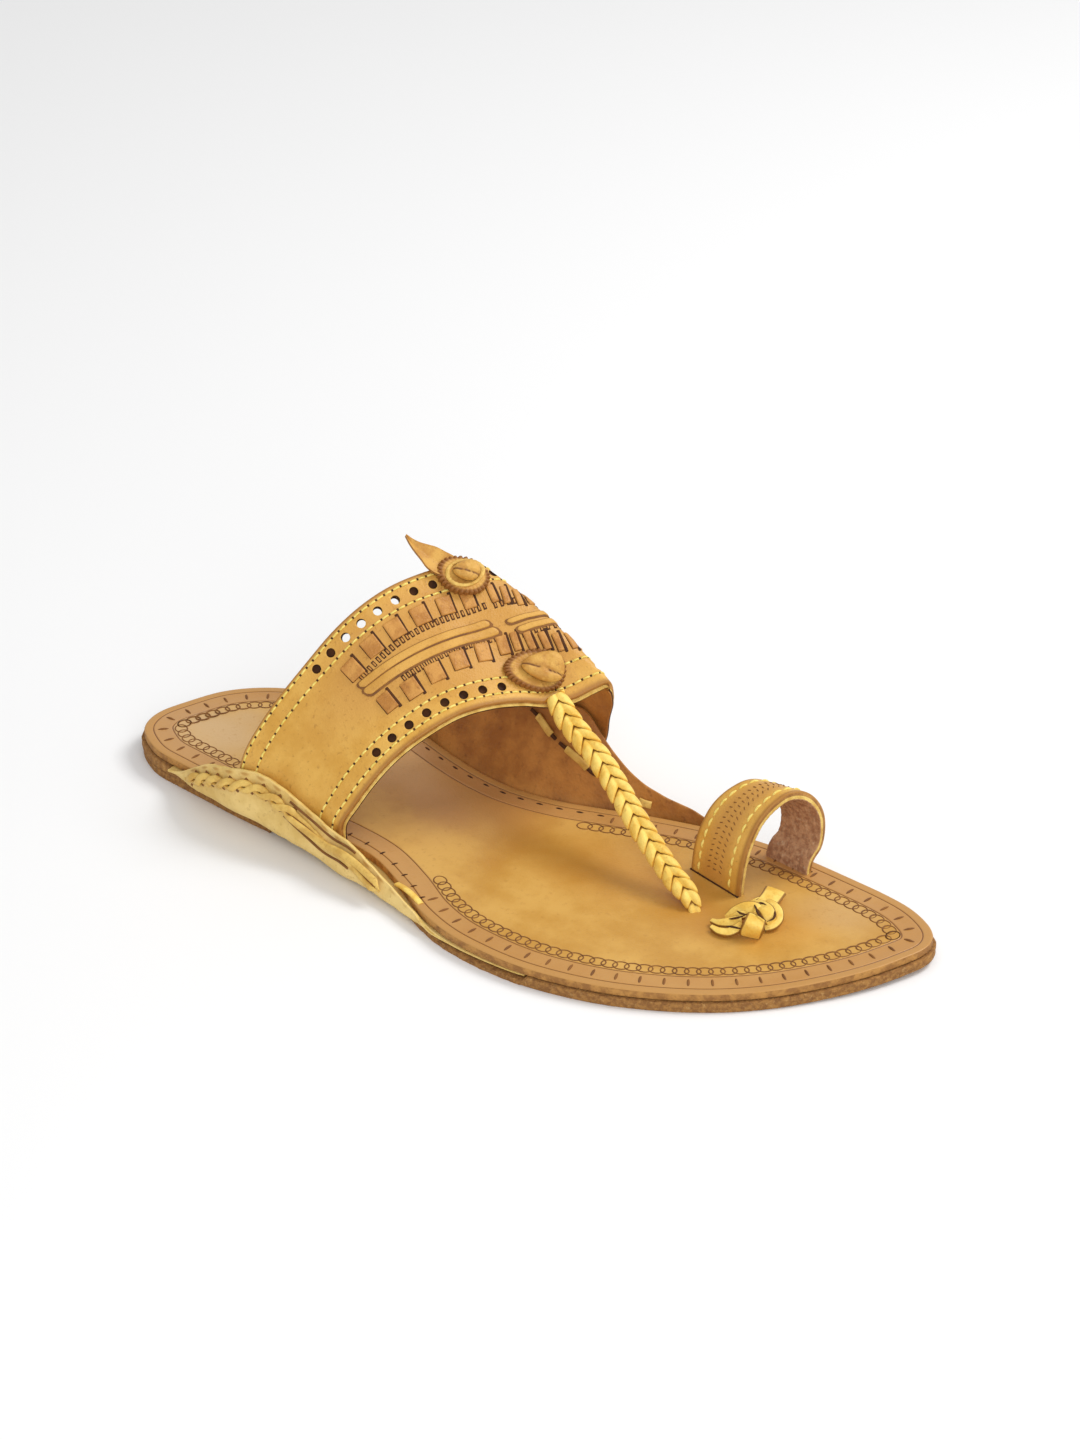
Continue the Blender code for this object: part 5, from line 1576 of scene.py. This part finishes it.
def strap_mesh(path, facing, width, thick, sides=12):
    """Flat strap with rounded edges along a path; width and thick may change along it"""
    along = headings(path)
    facing = np.broadcast_to(np.asarray(facing, float), path.shape)
    facing = unit(facing - along * np.einsum("ij,ij->i", facing, along)[:, None])
    turns = full_turn(sides)
    width, thick = (np.broadcast_to(size, len(path))[:, None, None] for size in (width, thick))
    over = np.cross(along, facing)[:, None] * squared(np.cos(turns), 0.6)[:, None] * width / 2
    return tube_mesh(path[:, None] + over + facing[:, None] * squared(np.sin(turns), 0.8)[:, None] * thick / 2)


# %% Outer lacing: a two-ply twist that runs out straight towards the toe
LACE_PITCH = 0.0130
TWISTED = 0.56
path, outs = lace_route(OUTER_FLAP, OUTER_LACE, 1, 1, 0.0013, 300)
walk = run_along(path)
share = walk / walk[-1]
twist = walk / LACE_PITCH * 2 * math.pi
held = np.interp(TWISTED, share, twist)
twist = np.where(share < TWISTED, twist, held + (twist - held) * 0.12)
over = np.cross(headings(path), outs)
ends = np.clip(np.minimum(walk, walk[-1] - walk) / 0.004, 0.25, 1)
plies = []
for phase in (0, math.pi):
    sway, rise = np.cos(twist + phase), np.sin(twist + phase)
    middle = path + over * (sway * 0.00135 * ends)[:, None] + outs * (rise * 0.00065 * ends)[:, None]
    plies.append(strap_mesh(middle, outs + 0.5 * over * sway[:, None], 0.0023 * ends, 0.0013 * ends))
lace_outer = many("lace_outer", plies, lace_face)
# Painted shade: dark strips in the gaps between the turns of the twist, between the plies, and on both sides of
# them
gaps = []
bed, bed_outs = lace_route(OUTER_FLAP, OUTER_LACE, 1, 1, 0.0002, 300)
for start in np.arange(0.002, walk[-1] * TWISTED - 0.004, LACE_PITCH / 2):
    inside = (walk > start) & (walk < start + 0.0060)
    if inside.sum() > 5:
        tilt = np.linspace(1, -1, inside.sum())[:, None] * 0.0026
        gaps.append(strap_mesh(bed[inside] + over[inside] * tilt, bed_outs[inside], 0.0011, 0.0005))
inside = (share > TWISTED - 0.04) & (share < 0.97)
gaps.append(strap_mesh(path[inside] - outs[inside] * 0.0003, outs[inside], 0.0016, 0.0012))
inside = (share > TWISTED - 0.04) & (share < 0.84)
for offset in (0.0030, -0.0030):
    gaps.append(strap_mesh(bed[inside] + over[inside] * offset, bed_outs[inside], 0.0008, 0.0005))
lace_gaps = many("lace_gaps", gaps, stamp_and_shade_dark)
for part in (lace_outer, lace_gaps):
    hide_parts("lacing_outer")
print("outer lace:", round(1000 * walk[-1]), "mm long")

# %% Inner lacing: a flat thong that shows in short runs between its slits
RUNS = ((0.09, 0.23), (0.36, 0.53), (0.66, 0.80), (0.90, 0.99))
LACE_SLITS = ((0.03, 0.10), (0.22, 0.27), (0.30, 0.37), (0.52, 0.60), (0.79, 0.85))
path, outs = lace_route(INNER_FLAP, INNER_LACE, -1, -1, 0.0006, 200)
share = np.linspace(0, 1, 200)
strips, slots = [], []
for start, end in RUNS:
    inside = (share > start) & (share < end)
    arch = np.sin(np.linspace(0.15, math.pi - 0.15, inside.sum()))[:, None] * 0.0005
    strips.append(strap_mesh(path[inside] + outs[inside] * arch, outs[inside], 0.0025, 0.0010))
# The slits are dark strips of painted shade where the thong goes under the flap
for start, end in LACE_SLITS:
    inside = (share > start) & (share < end)
    slots.append(strap_mesh(path[inside], outs[inside], 0.0012, 0.0008))
lace_inner = many("lace_inner", strips, lace_face)
lace_slots = many("lace_slots", slots, shade_and_stitch_dark)
for part in (lace_inner, lace_slots):
    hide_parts("lacing_inner")
print("inner lace:", len(strips), "runs and", len(slots), "slit_shades")

# %% [markdown]
# ## The toe loop
#
# The loop is two layers like the band: a tooled cover with two rows of stitches and a rough
# lining whose yellow cut edge shows at the front. Both are lofts over the loop's profile.

# %% Cover and lining of the loop
LOOP_ACROSS = 0.0218
LOOP_STITCHES = (0.16, 0.80)
sunk = -LOOP_FOOT_DEPTH / LOOP_HEIGHT
overs = np.vstack([[0.0, sunk], smoothed(columns(LOOP_PROFILE), 120), [1.0, sunk]])


def outward_normals(grid):
    """Normals of a grid over the loop, turned so that they point up at its top"""
    normal = normals_of(grid)
    return -normal if normal[len(grid) // 2, :, 2].mean() < 0 else normal


def loop_grid(fronts, lift):
    base = np.array([[loop_point(front, over, up) for front in fronts] for over, up in overs])
    return base + outward_normals(base) * np.asarray(lift)[..., None]


fronts = crowded(LOOP_ACROSS, 0.00014, 0.0007)
for row in LOOP_STITCHES:
    fronts = np.union1d(fronts, row + np.array([-0.03, 0, 0.03]))
depth = np.minimum(fronts, 1 - fronts) * LOOP_ACROSS
sinks = bump(fronts, LOOP_STITCHES[0], 0.025) + bump(fronts, LOOP_STITCHES[1], 0.025)
worn = np.clip(bump(fronts, 0, 0.06) + bump(fronts, 1, 0.07), 0, 1)
loop_values = {"worn": worn, "panel": bump(fronts, 0.48, 0.3)}
loop_cover = shell(
    "loop_cover", loop_grid(fronts, -rounded(depth, 0.0006) - 0.00016 * sinks), loop_grid(fronts, -0.0014),
    [band_face, band_flesh, brown_edge],
    {key: np.tile(numbers, (len(overs), 1)) for key, numbers in loop_values.items()}, 60,
)
fibres = np.sin(np.arange(len(overs))[:, None] * 1.7 + fronts * 40) * np.sin(fronts * 33 + 1)
loop_lining = shell(
    "loop_lining", loop_grid(fronts, -0.00143),
    loop_grid(fronts, -LOOP_WALL + rounded(depth, 0.0003) + np.clip(0.00018 * fibres, 0, 1)),
    [cut_edge, loop_flesh, cut_edge], None, 60,
)
for part in (loop_cover, loop_lining):
    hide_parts("toe_loop")
print("loop:", len(loop_cover.data.polygons), len(loop_lining.data.polygons), "faces")


# %% Stitches and tooling of the loop
def loop_line(front, lift, trim):
    """Guide line over the loop's face, a few rows short of its feet"""
    grid = loop_grid([front - 0.05, front, front + 0.05], lift)[trim:-trim]
    normal = normals_of(grid)
    if normal[len(grid) // 2, 1, 2] < 0:
        normal = -normal
    return grid[:, 1], normal[:, 1], headings(grid[:, 1])


loop_rows = [loop_line(front, -0.0001, 3) for front in LOOP_STITCHES]
loop_stitches = sewn("loop_stitches", loop_rows, 0.0038, 0.0031, 0.00085, thread)
tooled = []
for front in (0.36, 0.48, 0.60):
    points, normals, along = loop_line(front, 0.00002, 6)
    tooled.append((points, normals, np.cross(normals, along) + 0.5 * along * (front - 0.48) * 8))
loop_tooling = sewn("loop_tooling", tooled, 0.0019, 0.0015, 0.00032, stamp_and_shade_dark)

# %% [markdown]
# ## The plaited cord and its knot
#
# The cord is a flat plait. Its straps come from both edges, meet on the middle line in a
# herringbone and dive under the next pair. The pattern is worked into the cord's own
# surface: the rings of the sweep are bent into the same chevrons, so that each strap's free
# edge is a clean step over the strap below it.

# %% The plait's path and directions
CORD_STATIONS = 200
TOP_SHIFT = np.array([0.0016, -0.0024, 0.0])
ACROSS_HINT = np.array([0.75, -0.5, -0.25])
fine = smoothed(columns(PLAIT_PATH) * SANDAL_SIZES, 400)
walk = run_along(fine)
cord_run = walk[-1]
run = np.linspace(0, cord_run, CORD_STATIONS)
fade = np.clip(1 - np.linspace(0, 1, CORD_STATIONS) / 0.4, 0, 1) ** 1.5
cord_path = read_off(run, walk, fine) + fade[:, None] * TOP_SHIFT
cord_along = headings(cord_path)
cord_side = unit(ACROSS_HINT - cord_along * (cord_along @ ACROSS_HINT)[:, None])
cord_face = np.cross(cord_side, cord_along)
if cord_face[CORD_STATIONS // 2, 2] < 0:
    cord_face = -cord_face
print("cord is", round(1000 * cord_run), "mm long")

# %% The plait's surface
LINK_PITCH = 0.0050
CHEVRON = 0.85
CORD_HALF_WIDTH, CORD_HALF_THICK = 0.0041, 0.0030
# Along one strap: share of the pitch, and how far the strap stands up there
STRAP_STEPS = [0.0, 0.02, 0.07, 0.15, 0.27, 0.42, 0.58, 0.72, 0.84, 0.92, 0.97, 0.995]
STRAP_RISE = [0.0, 0.10, 0.34, 0.58, 0.78, 0.92, 1.0, 1.02, 1.0, 0.95, 0.88, 0.80]
# Along the whole cord: share of its length, and of its full width and thickness
CORD_KEYS = [0, 0.06, 0.88, 0.96, 1]
CORD_WIDE = [0.86, 1, 0.92, 0.66, 0.45]
CORD_TALL = [0.8, 1, 0.92, 0.64, 0.42]
turns = full_turn(56)
round_u, round_v = squared(np.cos(turns), 0.8), squared(np.sin(turns), 0.8)
rings, crease_shades = [], []
for k in range(-1, int(cord_run / LINK_PITCH) + 1):
    for step, rise in zip(STRAP_STEPS, STRAP_RISE):
        x = (k + step) * LINK_PITCH
        share = np.clip(x / cord_run, 0, 1)
        half_thick = CORD_HALF_THICK * np.interp(share, CORD_KEYS, CORD_TALL)
        y = round_u * (CORD_HALF_WIDTH * np.interp(share, CORD_KEYS, CORD_WIDE))
        offset = np.where(round_u > 0, 0.0, 0.16 * LINK_PITCH) * np.clip(np.abs(y) / 0.0004, 0, 1)
        at = np.clip(x + CHEVRON * np.abs(y) - 0.0030 + offset, 0, cord_run)
        place, across, facing = (read_off(at, run, grid) for grid in (cord_path, cord_side, cord_face))
        middle = np.exp(-((y / 0.0008) ** 2))
        wide = 0.80 + 0.21 * rise
        tall = 0.52 + 0.50 * rise - 0.36 * middle * (0.3 + 0.7 * rise)
        rings.append(place + across * (y * wide)[:, None] + facing * (round_v * half_thick * tall)[:, None])
        # Painted shade: each strap darkens where it comes out from under the one before, most across the cord's
        # faces and on its middle line
        shade = np.interp(step, [0, 0.03, 0.08, 0.2, 0.3], [1, 1, 0.72, 0.3, 0])
        crease_shades.append(shade * (1.05 - 0.85 * np.abs(round_u)) + 0.5 * shade * middle)
plait = tube("plait_cord", rings, thong_face, {"crease": np.r_[np.ravel(crease_shades), 1, 1]}, 40)
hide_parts("braid")
print("plait:", len(plait.data.polygons), "faces")

# %% [markdown]
# ## The knot at the cord's end
#
# The cord's thongs come up through the insole again, and are knotted into one square strap,
# two curled ends and a flat tail. Each strap is swept along its own short line. The shade in
# the folds between them is painted: thin dark strips, because the shade in a fold this small
# is seen as a line alone. The straps' sides are darkened with painted shade too.

# %% The knot's straps
# Places in mm on the plan, the height over the insole and the strap's width
KNOT_STRAPS = {
    "square strap": [
        (-6.1, 92.1, 4.9, 6.2), (-3.5, 93.2, 5.3, 6.4), (-1.2, 93.9, 4.8, 6.7), (-1.1, 93.3, 2.9, 7.0),
        (-1.8, 92.5, 0.8, 6.8),
    ],
    "upper strap": [
        (-5.5, 81.8, 1.0, 2.4), (-8.0, 84.0, 3.0, 4.4), (-9.3, 86.7, 4.4, 5.2), (-10.2, 89.3, 4.4, 5.0),
        (-10.4, 91.0, 3.2, 4.0),
    ],
    "small strap": [
        (-4.9, 82.0, 0.8, 1.8), (-5.6, 84.3, 2.2, 2.8), (-7.0, 86.6, 3.2, 3.0), (-8.2, 87.8, 3.4, 2.6),
    ],
    "second strap": [
        (-13.7, 86.0, 3.6, 3.0), (-12.6, 89.8, 4.6, 4.6), (-10.5, 93.3, 4.8, 5.0), (-9.6, 94.7, 3.6, 4.4),
        (-9.8, 95.0, 2.0, 3.4),
    ],
    "right strap": [
        (-18.1, 86.9, 2.4, 2.6), (-16.3, 91.3, 3.6, 3.4), (-14.2, 94.8, 3.2, 3.6), (-11.4, 96.2, 2.2, 3.4),
        (-9.0, 95.5, 1.4, 3.2), (-7.8, 94.1, 0.9, 2.8),
    ],
    "far strap": [(-14.6, 85.1, 2.6, 2.2), (-16.5, 86.3, 3.0, 2.8), (-18.4, 87.9, 2.6, 2.6)],
    "curl upper": [
        (-1.9, 78.8, 0.8, 1.6), (-0.9, 82.2, 2.0, 2.6), (-1.8, 85.5, 3.0, 3.6), (-3.7, 88.3, 3.6, 4.0),
    ],
    "curl lower": [
        (0.9, 80.4, 0.7, 1.6), (1.9, 83.8, 1.0, 2.6), (1.3, 86.7, 1.4, 3.0), (-0.4, 88.4, 2.4, 3.2),
        (-2.2, 89.4, 3.2, 3.0),
    ],
    "tail": [(-14.6, 88.9, 2.9, 6.2), (-20.0, 88.3, 2.7, 6.6), (-25.8, 86.9, 2.2, 7.0)],
}
FACING_UP, FACING_FRONT = (0.36, 0.25, 0.90), (0.68, 0.47, 0.56)
# Painted shade along the two sides of every strap, and across the first rings of the square strap
edge_shade = np.where(np.abs(np.cos(full_turn(20))) > 0.8, 0.8, 0.0)
straps, crease_shades = [], []
for label, rows in KNOT_STRAPS.items():
    fine = smoothed(rows, 40) * MM
    toward = FACING_FRONT if label == "square strap" else FACING_UP
    straps.append(strap_mesh(over_insole(fine[:, :2], fine[:, 2]), toward, fine[:, 3], 0.0015, 20))
    marks = np.tile(edge_shade, (40, 1))
    if label == "square strap":
        marks[:2] = 0.9
    crease_shades += [np.ravel(marks), [1, 1]]
knot = many("knot_straps", straps, thong_face, 50, {"crease": np.concatenate(crease_shades)})
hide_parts("knot")
print("knot:", len(straps), "straps")

# %% The knot's folds, as thin strips of painted shade
KNOT_CREASES = [
    [(-2.0, 84.6, 3.7), (-2.2, 87.2, 4.9), (-4.0, 89.2, 5.7)],
    [(-5.6, 85.4, 5.0), (-3.9, 88.0, 5.9), (-3.9, 90.4, 6.3)],
    [(-11.5, 87.8, 5.3), (-8.5, 90.4, 6.1), (-5.5, 93.4, 6.4), (-5.3, 95.8, 5.6)],
    [(-10.9, 88.5, 5.5), (-12.7, 89.3, 5.5), (-12.5, 91.8, 5.7)],
    [(-12.2, 93.4, 5.3), (-11.3, 95.3, 5.1), (-9.0, 96.3, 4.5), (-7.0, 95.3, 4.1)],
    [(2.2, 86.4, 4.0), (1.8, 88.9, 4.4), (1.9, 91.6, 4.8)],
]
fold_width = 0.0007 * np.sin(np.linspace(0.25, math.pi - 0.25, 20))
folds = []
for rows in KNOT_CREASES:
    fine = smoothed(rows, 20) * MM
    folds.append(strap_mesh(over_insole(fine[:, :2], fine[:, 2]), (0.70, 0.49, 0.50), fold_width, 0.0004))
knot_folds = many("knot_folds", folds, shade_and_stitch_dark)
print("knot:", len(folds), "folds")

# %% Thong ends that come up through the insole's rim, and painted shadow lines at the loop's feet
UP = (0.0, 0.0, 1.0)
# Where each end comes up and goes down again, and its width
THONG_ENDS = [
    ((0.0349, -0.0140), (0.0399, -0.0010), 0.0020),
    ((-0.0491, 0.0237), (-0.0482, 0.0300), 0.0030),
]
rise = 0.0009 * np.sin(np.linspace(0, math.pi, 14)) - 0.0002
small = []
for start, end, width in THONG_ENDS:
    small.append(strap_mesh(over_insole(np.linspace(start, end, 14), rise), UP, width, 0.0011))
thong_ends = many("thong_ends", small, thong_face)
# Painted shadow: a thin dark strip along each foot of the loop, where it meets the insole
foot_shadows = []
for leg in ("outer", "inner"):
    line = np.linspace(FEET[leg + " rear"], FEET[leg + " front"], 14)
    foot_shadows.append(strap_mesh(over_insole(line, -0.00015), UP, 0.0007, 0.0005))
insole_openings = many("insole_openings", foot_shadows, shade_and_stitch_dark)
print(len(small), "thong ends and", len(foot_shadows), "slit_shades")

# %% [markdown]
# ## Bodies, and a count of triangles
#
# Nothing on the sandal moves, so every piece rides on the one body. The pieces are listed by
# the hide that they are cut from.

# %% Ride, and the pieces listed by hide
bpy.data.objects.remove(tooth_source)
SLOTS = {
    "outsole leather": [heel, outsole],
    "insole leather": [insole, rim_stitches, stamped_chain, waist_stitches, insole_openings],
    "band leather": [
        cover, lining, hole_floors, welt_bars, welt_seams, woven_tabs, tab_slits, tab_shadows, tooth_slots,
        tooth_faces, band_stitches, needle_holes, rosette_front, rosette_rear, pad_front, leaf, loop_cover,
        loop_lining, loop_stitches, loop_tooling,
    ],
    "pale leather": [flap_outer, flap_inner],
    "thong leather": [
        lace_outer, lace_gaps, lace_inner, lace_slots, plait, knot, knot_folds, thong_ring, pad_rear,
        thong_ends,
    ],
}
triangles = {}
for label, members in SLOTS.items():
    for member in members:
        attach(member, "root")
        triangles[member.name] = sum(len(face.vertices) - 2 for face in member.data.polygons)
print("largest piece:", max(triangles.items(), key=lambda item: item[1]), "in all:", sum(triangles.values()))
